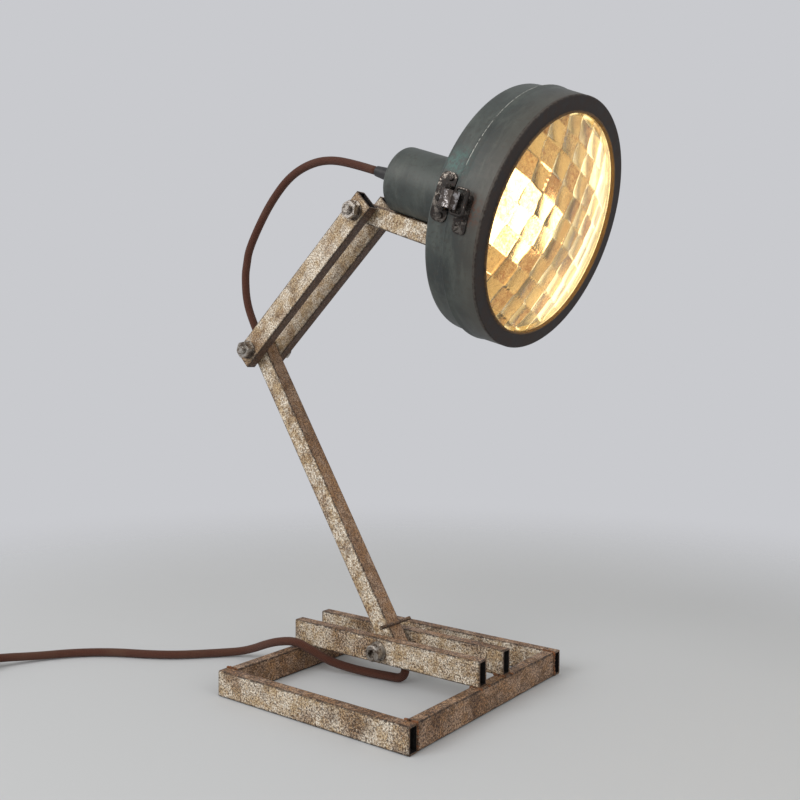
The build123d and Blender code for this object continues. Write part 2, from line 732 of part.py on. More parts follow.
def lens():
    """Domed glass with a flat flange, its gasket in front and its keeper ring behind."""
    gasket_back = -FRONT_RING_THICKNESS - GASKET_THICKNESS
    flange_back = gasket_back - LENS_THICKNESS
    dome_edge = LENS_RADIUS - LENS_FLANGE
    sphere = (dome_edge**2 + LENS_RISE**2) / (2 * LENS_RISE)
    centre = gasket_back + LENS_RISE - sphere
    inner_edge = ((sphere - LENS_THICKNESS) ** 2 - (flange_back - centre) ** 2) ** 0.5
    with BuildPart() as glass:
        with BuildSketch(HEAD_PLANE):
            with BuildLine():
                outer_middle = dome_edge / 2
                ThreePointArc(
                    (centre + sphere, 0),
                    (centre + (sphere**2 - outer_middle**2) ** 0.5, outer_middle),
                    (gasket_back, dome_edge),
                )
                inner_middle = inner_edge / 2
                inner = sphere - LENS_THICKNESS
                ThreePointArc(
                    (centre + inner, 0),
                    (centre + (inner**2 - inner_middle**2) ** 0.5, inner_middle),
                    (flange_back, inner_edge),
                )
                Polyline(
                    (gasket_back, dome_edge),
                    (gasket_back, LENS_RADIUS),
                    (flange_back, LENS_RADIUS),
                    (flange_back, inner_edge),
                )
                Line((centre + inner, 0), (centre + sphere, 0))
            make_face()
        revolve(axis=HEAD_LINE)
    save(glass, "lens_glass")

    gasket = turned_ring(
        [
            (-FRONT_RING_THICKNESS, dome_edge + GASKET_INSET),
            (-FRONT_RING_THICKNESS, LENS_RADIUS + GASKET_INSET),
            (gasket_back, LENS_RADIUS + GASKET_INSET),
            (gasket_back, dome_edge + GASKET_INSET),
        ]
    )
    save(gasket, "lens_gasket")

    keeper_bore = LENS_RADIUS + GASKET_INSET + FIT_GAP
    keeper_rim = RIM_FRONT_RADIUS - SHEET - FIT_GAP
    keeper_back = flange_back - KEEPER_THICKNESS
    keeper = turned_ring(
        [
            (flange_back, LENS_RADIUS - LENS_FLANGE + KEEPER_INSET),
            (flange_back, keeper_bore),
            (-FRONT_RING_THICKNESS, keeper_bore),
            (-FRONT_RING_THICKNESS, keeper_rim),
            (keeper_back, keeper_rim),
            (keeper_back, LENS_RADIUS - LENS_FLANGE + KEEPER_INSET),
        ]
    )
    save(keeper, "lens_keeper")


# Hinge between the shell and the rim

HINGE_RADIUS = DRUM_RADIUS + HINGE_STANDOFF
# On this plane x is the station and y points to the far side; its normal points to the head's top
FAR_PLANE = Plane(origin=HEAD_FRONT, x_dir=HEAD_AXIS, z_dir=HEAD_UP)
# On this plane x is the station and y points to the viewer's side; its normal points to the head's foot
NEAR_PLANE = Plane(origin=HEAD_FRONT, x_dir=HEAD_AXIS, z_dir=-HEAD_UP)


def disc(plane, centre, radius):
    """Disc on a plane, about a point on it."""
    with BuildSketch(plane) as face:
        with Locations(centre):
            Circle(radius)
    return face.sketch


def knuckle(radius, low):
    """Disc about the hinge's pin at a height along the head's upright."""
    return disc(FAR_PLANE.offset(low), (HINGE_STATION, HINGE_RADIUS), radius)


def hinge_leaf(corners, own, other, name):
    """Leaf from its section's corners, with knuckles over its own heights and room at the other leaf's."""
    with BuildPart() as leaf:
        with BuildSketch(FAR_PLANE.offset(-HINGE_HALF_HEIGHT)):
            with BuildLine():
                Polyline(*corners, close=True)
            make_face()
        extrude(amount=2 * HINGE_HALF_HEIGHT)
        for low, high in own:
            extrude(knuckle(HINGE_KNUCKLE_RADIUS, low), amount=high - low)
        for low, high in other:
            room = knuckle(HINGE_KNUCKLE_RADIUS + HINGE_PLAY, low)
            extrude(room, amount=high - low, mode=Mode.SUBTRACT)
        bore = knuckle(HINGE_PIN_DIAMETER / 2 + BORE_PLAY, -HINGE_HALF_HEIGHT)
        extrude(bore, amount=2 * HINGE_HALF_HEIGHT, mode=Mode.SUBTRACT)
    save(leaf, name)


def rim_hinge():
    """Two leaves with interleaved knuckles and the pin through them."""
    middle = HINGE_MIDDLE / 2
    outer = middle + HINGE_PLAY
    end = HINGE_HALF_HEIGHT
    band = DRUM_RADIUS
    root = HINGE_STATION - HINGE_KNUCKLE_RADIUS
    shell_corners = [
        (root - HINGE_LEAF_LENGTH, band),
        (root, band),
        (HINGE_STATION - HINGE_LEAF, HINGE_RADIUS - HINGE_ROLL),
        (HINGE_STATION - HINGE_ROLL, HINGE_RADIUS),
        (root - HINGE_SHELL_RISE, band + HINGE_LEAF),
        (root - HINGE_LEAF_LENGTH, band + HINGE_LEAF),
    ]
    shell_own = [(-end, -outer), (outer, end)]
    hinge_leaf(shell_corners, shell_own, [(-outer, outer)], "hinge_shell_leaf")

    flare = -RIM_DEPTH + RIM_LIP_LENGTH
    tip = HINGE_STATION + HINGE_KNUCKLE_RADIUS + HINGE_LEAF_LENGTH
    rim_corners = [
        (tip, rim_radius(tip)),
        (flare, rim_radius(flare)),
        (HINGE_STATION + HINGE_LIP_REACH, RIM_LIP_RADIUS + FIT_GAP),
        (HINGE_STATION + HINGE_LEAF, HINGE_RADIUS - HINGE_ROLL),
        (HINGE_STATION + HINGE_ROLL, HINGE_RADIUS),
        (flare + HINGE_RIM_RISE, rim_radius(flare) + HINGE_LEAF),
        (tip, rim_radius(tip) + HINGE_LEAF),
    ]
    rim_other = [(-end, -middle), (middle, end)]
    hinge_leaf(rim_corners, [(-middle, middle)], rim_other, "hinge_rim_leaf")

    with BuildPart() as pin:
        extrude(knuckle(HINGE_PIN_DIAMETER / 2, -end), amount=2 * end)
        for low in (end, -end - HINGE_PIN_HEAD):
            extrude(knuckle(HINGE_PIN_DIAMETER / 2 + HINGE_PIN_HEAD, low), amount=HINGE_PIN_HEAD)
    save(pin, "hinge_pin")


# Latch across the seam on the viewer's side

LATCH_HEIGHT = DRUM_RADIUS + LATCH_PIN_STANDOFF


def curved_plate(profile, outline_centre, outline_size, corner):
    """Plate that follows the drum: a turned profile cut to a rounded outline seen from the side."""
    turned = turned_ring(profile)
    with BuildPart() as plate:
        add(turned.part)
        with BuildSketch(HEAD_PLANE.offset(DRUM_RADIUS / 2)):
            with Locations(outline_centre):
                Rectangle(*outline_size)
        extrude(amount=DRUM_RADIUS, mode=Mode.INTERSECT)
        fillet(plate.edges().filter_by(Axis.Y), corner)
    return plate


def rivet_plane(station, height, radius):
    """Plane that touches a cylinder about the head's axis on the viewer's side."""
    depth = (radius**2 - height**2) ** 0.5
    normal = HEAD_UP * (height / radius) + Vector(0, -1, 0) * (depth / radius)
    origin = HEAD_FRONT + HEAD_AXIS * station + HEAD_UP * height - Vector(0, depth, 0)
    return Plane(origin=origin, x_dir=HEAD_AXIS, z_dir=normal)


def cross_disc(station, radius, low):
    """Disc at the latch's height about a cross axis, low along the head's upright."""
    return disc(NEAR_PLANE.offset(low), (station, LATCH_HEIGHT), radius)


def latch_fixed_side():
    """Curved plate on the shell with two ears, its rivets, and the lever's pin."""
    plate_radius = DRUM_RADIUS + LATCH_PLATE
    profile = [
        (LATCH_BACK, DRUM_RADIUS),
        (LATCH_BACK, plate_radius),
        (LATCH_FRONT, plate_radius),
        (LATCH_FRONT, DRUM_RADIUS),
    ]
    centre = ((LATCH_BACK + LATCH_FRONT) / 2, 0)
    size = (LATCH_FRONT - LATCH_BACK, 2 * LATCH_HALF_HEIGHT)
    blank = curved_plate(profile, centre, size, LATCH_CORNER)
    pin_centre = (LATCH_PIN_STATION, LATCH_HEIGHT)
    ear_foot = DRUM_RADIUS + LATCH_PLATE / 2
    with BuildPart() as plate:
        add(blank.part)
        for inner in (EAR_GAP / 2, -EAR_GAP / 2 - EAR_THICKNESS):
            with BuildSketch(NEAR_PLANE.offset(inner)):
                with BuildLine():
                    Polyline(
                        (LATCH_PIN_STATION - EAR_RADIUS - EAR_LEAN, ear_foot),
                        (LATCH_PIN_STATION + EAR_RADIUS - EAR_LEAN, ear_foot),
                        (LATCH_PIN_STATION + EAR_RADIUS, LATCH_HEIGHT),
                        (LATCH_PIN_STATION - EAR_RADIUS, LATCH_HEIGHT),
                        close=True,
                    )
                make_face()
                with Locations(pin_centre):
                    Circle(EAR_RADIUS)
                    Circle(LATCH_PIN_DIAMETER / 2 + BORE_PLAY, mode=Mode.SUBTRACT)
            extrude(amount=EAR_THICKNESS)
    save(plate, "latch_plate")

    with BuildPart() as rivets:
        for station, height in LATCH_RIVETS:
            with BuildSketch(rivet_plane(station, height, plate_radius)):
                Circle(RIVET_RADIUS)
            extrude(amount=RIVET_HEIGHT, taper=RIVET_TAPER)
    save(rivets, "latch_rivets")

    half = EAR_GAP / 2 + EAR_THICKNESS
    with BuildPart() as pin:
        extrude(cross_disc(LATCH_PIN_STATION, LATCH_PIN_DIAMETER / 2, -half), amount=2 * half)
        for low in (half, -half - EAR_THICKNESS / 2):
            extrude(cross_disc(LATCH_PIN_STATION, LATCH_PIN_HEAD_RADIUS, low), amount=EAR_THICKNESS / 2)
    save(pin, "latch_pin")


def latch_lever():
    """Domed lever on its pin, with a cross bar underneath that holds the bail's ends."""
    half = LEVER_WIDTH / 2
    middle = (LATCH_PIN_STATION + LEVER_NOSE) / 2
    top = LATCH_HEIGHT + EAR_RADIUS - FIT_GAP
    nose = LATCH_HEIGHT + LEVER_NOSE_LIFT
    with BuildPart() as lever:
        with BuildSketch(NEAR_PLANE.offset(-half)):
            with BuildLine():
                ThreePointArc(
                    (LATCH_PIN_STATION, top),
                    (middle, LATCH_HEIGHT + LEVER_DOME),
                    (LEVER_NOSE, nose),
                )
                ThreePointArc(
                    (LATCH_PIN_STATION, top - LEVER_PLATE),
                    (middle, LATCH_HEIGHT + LEVER_DOME - LEVER_PLATE),
                    (LEVER_NOSE - LEVER_PLATE, nose),
                )
                Line((LATCH_PIN_STATION, top), (LATCH_PIN_STATION, top - LEVER_PLATE))
                Line((LEVER_NOSE, nose), (LEVER_NOSE - LEVER_PLATE, nose))
            make_face()
        extrude(amount=LEVER_WIDTH)
        extrude(cross_disc(LATCH_PIN_STATION, EAR_RADIUS - FIT_GAP, -half), amount=LEVER_WIDTH)
        extrude(cross_disc(BAIL_PIVOT, LEVER_BAR_RADIUS, -half), amount=LEVER_WIDTH)
        with BuildSketch(NEAR_PLANE.offset(-half)):
            with Locations((BAIL_PIVOT, LATCH_HEIGHT + LEVER_BAR_RADIUS)):
                Rectangle(LEVER_PLATE, 2 * LEVER_BAR_RADIUS)
        extrude(amount=LEVER_WIDTH)
        for station, diameter in ((LATCH_PIN_STATION, LATCH_PIN_DIAMETER), (BAIL_PIVOT, BAIL_WIRE)):
            bore = cross_disc(station, diameter / 2 + LATCH_PLAY, -half)
            extrude(bore, amount=LEVER_WIDTH, mode=Mode.SUBTRACT)
    save(lever, "latch_lever")


def latch_bail():
    """Wire bail from the lever's cross bar to the catch in front of the seam."""
    crossbar = CATCH_FACE + BAIL_WIRE / 2 + FIT_GAP
    inner = LEVER_WIDTH / 2 - BAIL_GRIP
    with BuildPart() as bail:
        with BuildLine(HEAD_PLANE.offset(LATCH_HEIGHT)) as wire:
            FilletPolyline(
                (BAIL_PIVOT, inner),
                (BAIL_PIVOT, BAIL_HALF_WIDTH),
                (crossbar, BAIL_HALF_WIDTH),
                (crossbar, -BAIL_HALF_WIDTH),
                (BAIL_PIVOT, -BAIL_HALF_WIDTH),
                (BAIL_PIVOT, -inner),
                radius=BAIL_WIRE,
            )
        with BuildSketch(Plane(origin=wire.line @ 0, z_dir=wire.line % 0)):
            Circle(BAIL_WIRE / 2)
        sweep()
    save(bail, "latch_bail")


def latch_lug():
    """Curved plate on the rim with the upright catch, and two rivet heads."""
    profile = [
        (LUG_FRONT, rim_radius(LUG_FRONT)),
        (LUG_FRONT, rim_radius(LUG_FRONT) + LUG_PLATE),
        (LUG_BACK, rim_radius(LUG_BACK) + LUG_PLATE),
        (LUG_BACK, rim_radius(LUG_BACK)),
    ]
    height = LUG_TOP - LUG_BOTTOM
    centre = ((LUG_FRONT + LUG_BACK) / 2, (LUG_TOP + LUG_BOTTOM) / 2)
    blank = curved_plate(profile, centre, (LUG_FRONT - LUG_BACK, height), LUG_CORNER)
    foot = rim_radius(CATCH_FACE) + LUG_PLATE / 2
    top = LATCH_HEIGHT - CATCH_DROP
    with BuildPart() as lug:
        add(blank.part)
        with BuildSketch(NEAR_PLANE.offset(-CATCH_WIDTH / 2)):
            with BuildLine():
                Polyline(
                    (CATCH_FACE, foot),
                    (CATCH_FACE, top),
                    (CATCH_FACE - LUG_PLATE, top),
                    (CATCH_FACE - 2 * LUG_PLATE, foot),
                    close=True,
                )
            make_face()
        extrude(amount=CATCH_WIDTH)
        for station, height in LUG_RIVETS:
            seat = rim_radius(station) + LUG_PLATE / 2
            with BuildSketch(rivet_plane(station, height, seat)):
                Circle(RIVET_RADIUS)
            extrude(amount=RIVET_HEIGHT + LUG_PLATE / 2, taper=RIVET_TAPER)
    save(lug, "latch_lug")


# Cord

MOUTH = ELBOW + heading(LOWER_HEADING) * LOWER_OVERHANG
FOOT_EXIT = FOOT - heading(LOWER_HEADING) * FOOT_RUN_START
GLAND_TIP = HEAD_FRONT + HEAD_AXIS * (CUP_BACK - GLAND_LENGTH)
SWITCH_WAY = Vector(cos(radians(SWITCH_HEADING)), sin(radians(SWITCH_HEADING)), 0)
SWITCH_LEFT = Vector(-SWITCH_WAY.Y, SWITCH_WAY.X, 0)
SWITCH_IN = Vector(SWITCH_START[0], SWITCH_START[1], SWITCH_HEIGHT / 2)
SWITCH_OUT = SWITCH_IN + SWITCH_WAY * SWITCH_LENGTH
COIL_START = Vector(SWITCH_OUT.X, SWITCH_OUT.Y, CORD_FLOOR) + SWITCH_WAY * COIL_LEAD
COIL_CENTRE = COIL_START + SWITCH_LEFT * COIL_OUTER


def corner_radii(points):
    """Bend radius at each corner of a route: as large as its two runs allow."""
    radii = []
    for before, corner, after in zip(points, points[1:], points[2:]):
        first, second = corner - before, after - corner
        half_turn = radians(first.get_angle(second)) / 2
        radii.append(0.45 * min(first.length, second.length) / tan(half_turn))
    return radii


def cord_tube(points, name):
    """Round cord along straight runs joined by arcs; prints its bends and compares its volume."""
    points = [Vector(*point) for point in points]
    radii = corner_radii(points)
    with BuildPart() as tube:
        with BuildLine() as route:
            FilletPolyline(*points, radius=radii)
        with BuildSketch(Plane(origin=route.line @ 0, z_dir=route.line % 0)):
            Circle(CORD_RADIUS)
        sweep()
    length = route.wires()[0].length
    share = tube.part.volume / (Circle(CORD_RADIUS).area * length)
    print(f"{name}: {length:.0f} mm, bends {[round(radius) for radius in radii]}, volume share {share:.4f}")
    save(tube, name)
    return length


def straight_cord(start, way, low, high, radius, name, offsets=(0,)):
    """Straight lengths along a way, between two distances from start, offset square to it."""
    across = Vector(-way.Z, 0, way.X)
    with BuildPart() as lengths:
        for offset in offsets:
            with BuildSketch(Plane(origin=start + way * low + across * offset, z_dir=way)):
                Circle(radius)
            extrude(amount=high - low)
    save(lengths, name)
    return high - low


def arm_cord():
    """The cord's cores inside the lower arm, and its covered ends in the arm's two mouths."""
    up = heading(LOWER_HEADING)
    offsets = (CORE_WIRE_OFFSET, -CORE_WIRE_OFFSET)
    cores = straight_cord(
        FOOT, up, -CORD_END_INSET, LOWER_PITCH + CORD_END_INSET, CORE_WIRE_DIAMETER / 2, "cord_cores", offsets
    )
    foot = straight_cord(FOOT, -up, CORD_END_INSET, FOOT_STUB_END, CORD_RADIUS, "cord_foot_end")
    elbow = straight_cord(ELBOW, up, CORD_END_INSET, LOWER_OVERHANG, CORD_RADIUS, "cord_elbow_end")
    return cores + foot + elbow


def arc_cord():
    """The free arc from the lower arm's mouth round behind the elbow and over to the gland."""
    up = heading(LOWER_HEADING)
    lower = [MOUTH, MOUTH + up * MOUTH_RUN]
    lower += [Vector(x, ARM_Y, z) for x, z in ((-178.2, 313.0), (-180.2, 338.0))]
    joint = Vector(-177.8, ARM_Y, 349.5)
    upper = [joint]
    upper += [
        Vector(x, ARM_Y, z)
        for x, z in (
            (-175.4, 361.0),
            (-162.0, 382.5),
            (-146.0, 403.0),
            (-124.5, 421.8),
            (-100.5, 430.3),
            (-76.5, 431.0),
        )
    ]
    upper += [GLAND_TIP - HEAD_AXIS * GLAND_RUN, GLAND_TIP]
    return cord_tube(lower + [joint], "cord_arc_lower") + cord_tube(upper, "cord_arc_upper")


def table_cord():
    """From the foot's mouth under the front rail, over the left tube and along the table to the switch."""
    down = -heading(LOWER_HEADING)
    points = [
        FOOT_EXIT,
        FOOT_EXIT + down * FOOT_DROP,
        (2.6, 5.0, CORD_FLOOR),
        (-10.0, 3.4, CORD_FLOOR),
        (-31.0, -1.0, CORD_FLOOR + 0.4),
        (-48.0, -7.5, 6.8),
        (-61.0, -14.5, 11.5),
        (-71.5, -23.5, 20.5),
        (-84.5, -27.5, 26.0),
        (-102.0, -29.5, 23.0),
        (-119.0, -28.0, 17.0),
        (-136.0, -24.5, 9.5),
        (-150.5, -27.5, 4.6),
        (-162.0, -36.5, CORD_FLOOR),
        (-173.5, -50.0, CORD_FLOOR),
        (-189.0, -66.5, CORD_FLOOR),
        (-211.0, -81.5, CORD_FLOOR),
        (-240.0, -96.0, CORD_FLOOR),
        (-265.0, -118.0, CORD_FLOOR),
        (-281.5, -146.0, CORD_FLOOR + 0.6),
    ]
    points = [Vector(*point) for point in points]
    points += [SWITCH_IN - SWITCH_WAY * SWITCH_RUN, SWITCH_IN]
    return cord_tube(points, "cord_table_run")


def coil_cord():
    """Put-away coil: turns spiral in on the table, climb a layer, and spiral out again."""
    climb = 2 * COIL_TURNS_IN
    inwards, outwards = [-COIL_PITCH / 2], [COIL_PITCH / 2]
    rates = inwards * (climb + 1) + [COIL_PITCH] + outwards * (2 * COIL_TURNS_OUT)
    radius, height, side = COIL_OUTER, CORD_FLOOR, -1
    start = COIL_CENTRE + SWITCH_LEFT * side * radius
    with BuildPart() as coil:
        with BuildLine() as turns:
            Line(start - SWITCH_WAY * CORD_DIAMETER, start)
            for number, rate in enumerate(rates):
                radius += rate
                if number == climb:
                    height += COIL_LAYER
                side = -side
                end = COIL_CENTRE + SWITCH_LEFT * side * radius
                end = Vector(end.X, end.Y, height)
                bulge = SWITCH_WAY * side * (end - start).length / 2
                ThreePointArc(start, (start + end) / 2 + bulge, end)
                start = end
            Line(start, start + SWITCH_WAY * CORD_DIAMETER)
        with BuildSketch(Plane(origin=turns.line @ 0, z_dir=turns.line % 0)):
            Circle(CORD_RADIUS)
        sweep()
    save(coil, "cord_coil")
    path = turns.wires()[0]
    length = path.length
    share = coil.part.volume / (Circle(CORD_RADIUS).area * length)
    print(f"cord_coil: {length:.0f} mm, volume share {share:.4f}, least gap {least_gap(path):.2f} mm")
    return length, start + SWITCH_WAY * CORD_DIAMETER


def least_gap(path):
    """Least gap of a cord to itself, on points along its middle, past its own thickness."""
    count = int(path.length / GAP_STEP)
    points = [tuple(path @ (number / count)) for number in range(count + 1)]
    apart = int(3 * CORD_DIAMETER / GAP_STEP)
    least = path.length
    for number, (x, y, z) in enumerate(points):
        for a, b, c in points[number + apart :]:
            least = min(least, (x - a) ** 2 + (y - b) ** 2 + (z - c) ** 2)
    return least**0.5 - CORD_DIAMETER


def coil_point(out, along, height):
    """Point beside the coil: out from its middle on the start's side, along the switch's heading."""
    point = COIL_CENTRE - SWITCH_LEFT * out + SWITCH_WAY * along
    return Vector(point.X, point.Y, height)


def plug_cord(coil_end):
    """From the switch to the coil, and from the coil's end up to the plug that lies on it."""
    lead = [
        SWITCH_OUT,
        SWITCH_OUT + SWITCH_WAY * 8,
        Vector(SWITCH_OUT.X, SWITCH_OUT.Y, CORD_FLOOR) + SWITCH_WAY * 19,
        COIL_START - SWITCH_WAY * CORD_DIAMETER,
    ]
    to_coil = cord_tube(lead, "cord_switch_run")
    top = COIL_TOP + PLUG_THICKNESS / 2
    run = [
        coil_end,
        coil_end + SWITCH_WAY * 11,
        coil_point(51.0, 33.0, 16.0),
        coil_point(44.0, 48.0, top - 1),
        coil_point(29.0, 58.0, top + 0.5),
        coil_point(11.0, 60.0, top + 0.4),
        coil_point(-5.0, 53.0, top),
        coil_point(*PLUG_ENTRY, top),
    ]
    to_plug = cord_tube(run, "cord_plug_run")
    return to_coil + to_plug, run[-1], (run[-1] - run[-2]).normalized()


# Switch and plug

COIL_TOP = CORD_FLOOR + COIL_LAYER + CORD_RADIUS + PLUG_CLEARANCE


def switch():
    """Line switch in two halves, with its rocker on a cross pin, rocked to on."""
    middle = SWITCH_IN + SWITCH_WAY * SWITCH_LENGTH / 2
    floor = Plane(origin=(middle.X, middle.Y, 0), x_dir=SWITCH_WAY, z_dir=(0, 0, 1))
    half = SWITCH_HEIGHT / 2
    inside = (SWITCH_LENGTH - 2 * SWITCH_WALL, SWITCH_WIDTH - 2 * SWITCH_WALL)
    window = (ROCKER_LENGTH + 4 * ROCKER_PLAY, ROCKER_WIDTH + 2 * ROCKER_PLAY)
    pivot_height = SWITCH_HEIGHT - ROCKER_PIVOT_DEPTH
    pivot = Vector(middle.X, middle.Y, pivot_height)
    side = Plane(origin=pivot, x_dir=SWITCH_WAY, z_dir=SWITCH_WAY.cross(Vector(0, 0, 1)))
    boss = (window[1] / 2 + ROCKER_BOSS, window[1] / 2)

    for name, level, wall in (("switch_lower", 0, 0), ("switch_upper", half, 1)):
        with BuildPart() as shell:
            with BuildSketch(floor.offset(level)):
                RectangleRounded(SWITCH_LENGTH, SWITCH_WIDTH, SWITCH_ROUNDING)
            extrude(amount=half)
            outer_face = shell.faces().sort_by(Axis.Z)[-1 if wall else 0]
            chamfer(outer_face.edges(), SWITCH_BEVEL)
            with BuildSketch(floor.offset(level + (0 if wall else SWITCH_WALL))):
                RectangleRounded(*inside, SWITCH_ROUNDING - SWITCH_WALL)
            extrude(amount=half - SWITCH_WALL, mode=Mode.SUBTRACT)
            if wall:
                with BuildSketch(floor.offset(SWITCH_HEIGHT)):
                    Rectangle(*window)
                extrude(amount=-half, mode=Mode.SUBTRACT)
                for low in (boss[1], -boss[0]):
                    with BuildSketch(side.offset(low)):
                        with Locations((0, ROCKER_PIVOT_DEPTH / 2 - SWITCH_WALL / 2)):
                            Rectangle(3 * ROCKER_PIN_DIAMETER, 2 * ROCKER_PIVOT_DEPTH)
                    extrude(amount=ROCKER_BOSS)
                with BuildSketch(side.offset(-boss[0])):
                    Circle(ROCKER_PIN_DIAMETER / 2 + BORE_PLAY)
                extrude(amount=2 * boss[0], mode=Mode.SUBTRACT)
                with BuildSketch(floor.offset(SWITCH_HEIGHT)):
                    Rectangle(SWITCH_LENGTH, SWITCH_WIDTH)
                extrude(amount=half, mode=Mode.SUBTRACT)
        save(shell, name)

    tilt = radians(ROCKER_TILT)
    tilted_way = SWITCH_WAY * cos(tilt) + Vector(0, 0, 1) * sin(tilt)
    tilted = Plane(origin=side.origin, x_dir=tilted_way, z_dir=side.z_dir)
    top = ROCKER_PIVOT_DEPTH + ROCKER_RISE
    with BuildPart() as rocker:
        with BuildSketch(tilted.offset(-ROCKER_WIDTH / 2)):
            with BuildLine():
                Polyline(
                    (-ROCKER_LENGTH / 2, top),
                    (0, top - ROCKER_RISE),
                    (ROCKER_LENGTH / 2, top),
                    (ROCKER_LENGTH / 2, ROCKER_RISE),
                    (0, top - ROCKER_DEPTH - ROCKER_RISE),
                    (-ROCKER_LENGTH / 2, ROCKER_RISE),
                    close=True,
                )
            make_face()
        extrude(amount=ROCKER_WIDTH)
        with BuildSketch(tilted.offset(-boss[0])):
            Circle(ROCKER_PIN_DIAMETER / 2)
        extrude(amount=2 * boss[0])
    save(rocker, "switch_rocker")


def plug(entry, way):
    """Flat two-pin plug: a body that widens from the cord to its face, and two round pins."""
    across = Plane(origin=entry, x_dir=way.cross(Vector(0, 0, 1)), z_dir=way)
    with BuildPart() as body:
        with BuildSketch(across):
            Circle(PLUG_ENTRY_RADIUS)
        with BuildSketch(across.offset(PLUG_LENGTH / 4)):
            Circle(PLUG_TAIL_THICKNESS / 2)
        loft()
        with BuildSketch(across.offset(PLUG_LENGTH / 4)):
            RectangleRounded(PLUG_TAIL_WIDTH, PLUG_TAIL_THICKNESS, PLUG_CORNER)
        with BuildSketch(across.offset(PLUG_LENGTH)):
            RectangleRounded(PLUG_WIDTH, PLUG_THICKNESS, PLUG_CORNER)
        loft()
    save(body, "plug_body")

    with BuildPart() as pins:
        with BuildSketch(across.offset(PLUG_LENGTH)):
            with Locations((-PIN_SPACING / 2, 0), (PIN_SPACING / 2, 0)):
                Circle(PIN_DIAMETER / 2)
        extrude(amount=PIN_LENGTH)
        chamfer(pins.faces().sort_by(Axis(entry, way))[-2:].edges(), PIN_BEVEL)
    save(pins, "plug_pins")


def main():
    base_frame()
    rails()
    arms()
    stop_rod()
    pivots()
    head_arm()
    rear_shell()
    socket_cup()
    mount_screws()
    cord_gland()
    reflector()
    bulb()
    lamp_holder()
    bezel()
    lens()
    rim_hinge()
    latch_fixed_side()
    latch_lever()
    latch_bail()
    latch_lug()
    lengths = [arm_cord(), arc_cord(), table_cord()]
    coil_length, coil_end = coil_cord()
    plug_lengths, entry, way = plug_cord(coil_end)
    print(f"cord in all: {sum(lengths) + coil_length + plug_lengths:.0f} mm, switch {SWITCH_LENGTH:.0f} mm")
    switch()
    plug(entry, way)
    for name, point in (("foot", FOOT), ("elbow", ELBOW), ("wrist", WRIST), ("head front", HEAD_FRONT)):
        print(f"{name}: {point.X:.2f} {point.Y:.2f} {point.Z:.2f}")


main()
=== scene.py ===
# %% [markdown]
# # Dressing an old articulated lamp
# The CAD model gives every rigid piece its exact size and place, and says what turns about what.
# This lesson gives the pieces their finishes and makes the few that a solid can't show:
# the pressed glass, the welds, the bolts' threads and the textile cord.
# Everything is in metres, in the CAD model's own frame, so nothing has to be fitted by eye.

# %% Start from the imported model
from math import cos, pi, radians, sin
import bmesh
import bpy
from mathutils import Matrix, Vector


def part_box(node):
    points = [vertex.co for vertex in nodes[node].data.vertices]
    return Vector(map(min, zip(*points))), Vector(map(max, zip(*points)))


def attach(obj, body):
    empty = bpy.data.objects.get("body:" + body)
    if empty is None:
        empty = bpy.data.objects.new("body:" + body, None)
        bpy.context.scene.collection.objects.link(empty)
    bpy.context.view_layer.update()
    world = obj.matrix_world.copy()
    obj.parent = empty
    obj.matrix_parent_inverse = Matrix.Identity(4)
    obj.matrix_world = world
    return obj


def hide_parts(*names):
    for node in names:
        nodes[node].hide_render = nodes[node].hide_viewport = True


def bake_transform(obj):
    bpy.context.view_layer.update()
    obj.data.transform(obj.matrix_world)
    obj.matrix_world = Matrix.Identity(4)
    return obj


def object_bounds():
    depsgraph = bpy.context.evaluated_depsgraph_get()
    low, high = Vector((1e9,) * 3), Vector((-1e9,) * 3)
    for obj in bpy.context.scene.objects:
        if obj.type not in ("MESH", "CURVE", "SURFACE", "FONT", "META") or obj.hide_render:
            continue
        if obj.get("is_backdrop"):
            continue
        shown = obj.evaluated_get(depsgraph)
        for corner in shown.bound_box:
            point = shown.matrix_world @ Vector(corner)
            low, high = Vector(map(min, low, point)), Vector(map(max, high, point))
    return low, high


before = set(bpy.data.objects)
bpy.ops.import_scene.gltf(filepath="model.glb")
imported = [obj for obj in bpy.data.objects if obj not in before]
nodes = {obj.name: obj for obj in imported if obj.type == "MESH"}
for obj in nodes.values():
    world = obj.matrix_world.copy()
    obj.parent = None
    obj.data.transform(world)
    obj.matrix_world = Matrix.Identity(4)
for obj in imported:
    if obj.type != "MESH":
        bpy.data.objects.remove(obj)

cad_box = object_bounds()

# %% [markdown]
# ## Measures
# These are the lamp's own points: three pivots, and the front of its head.
# The arms turn in one upright plane, and a heading is an angle in that plane, from +X towards +Z.
# A pitch is the distance between an arm's two pivots, and the head's reach and rise lead from the
# wrist to the middle of its front. A helper turns millimetres, which a maker thinks in, to metres.

# %% Pivots and headings
MM = 0.001
ARM_Y = 6.0


def heading(angle):
    """Unit vector in the arms' plane."""
    return Vector((cos(radians(angle)), 0.0, sin(radians(angle))))


def mm(x, y, z):
    return Vector((x, y, z)) * MM


LOWER_HEADING, UPPER_HEADING, HEAD_HEADING = 121.9, 42.5, -20.0
LOWER_PITCH, UPPER_PITCH, HEAD_REACH, HEAD_RISE = 283.0, 164.5, 166.5, 34.25
FOOT = mm(-5.0, ARM_Y, 30.0)
ELBOW = FOOT + heading(LOWER_HEADING) * LOWER_PITCH * MM
WRIST = ELBOW + heading(UPPER_HEADING) * UPPER_PITCH * MM
AXIS, UP, SIDE = heading(HEAD_HEADING), heading(HEAD_HEADING + 90), Vector((0, 1, 0))
HEAD_FRONT = WRIST + AXIS * HEAD_REACH * MM + UP * HEAD_RISE * MM
print("elbow", ELBOW, "wrist", WRIST, "head", HEAD_FRONT)

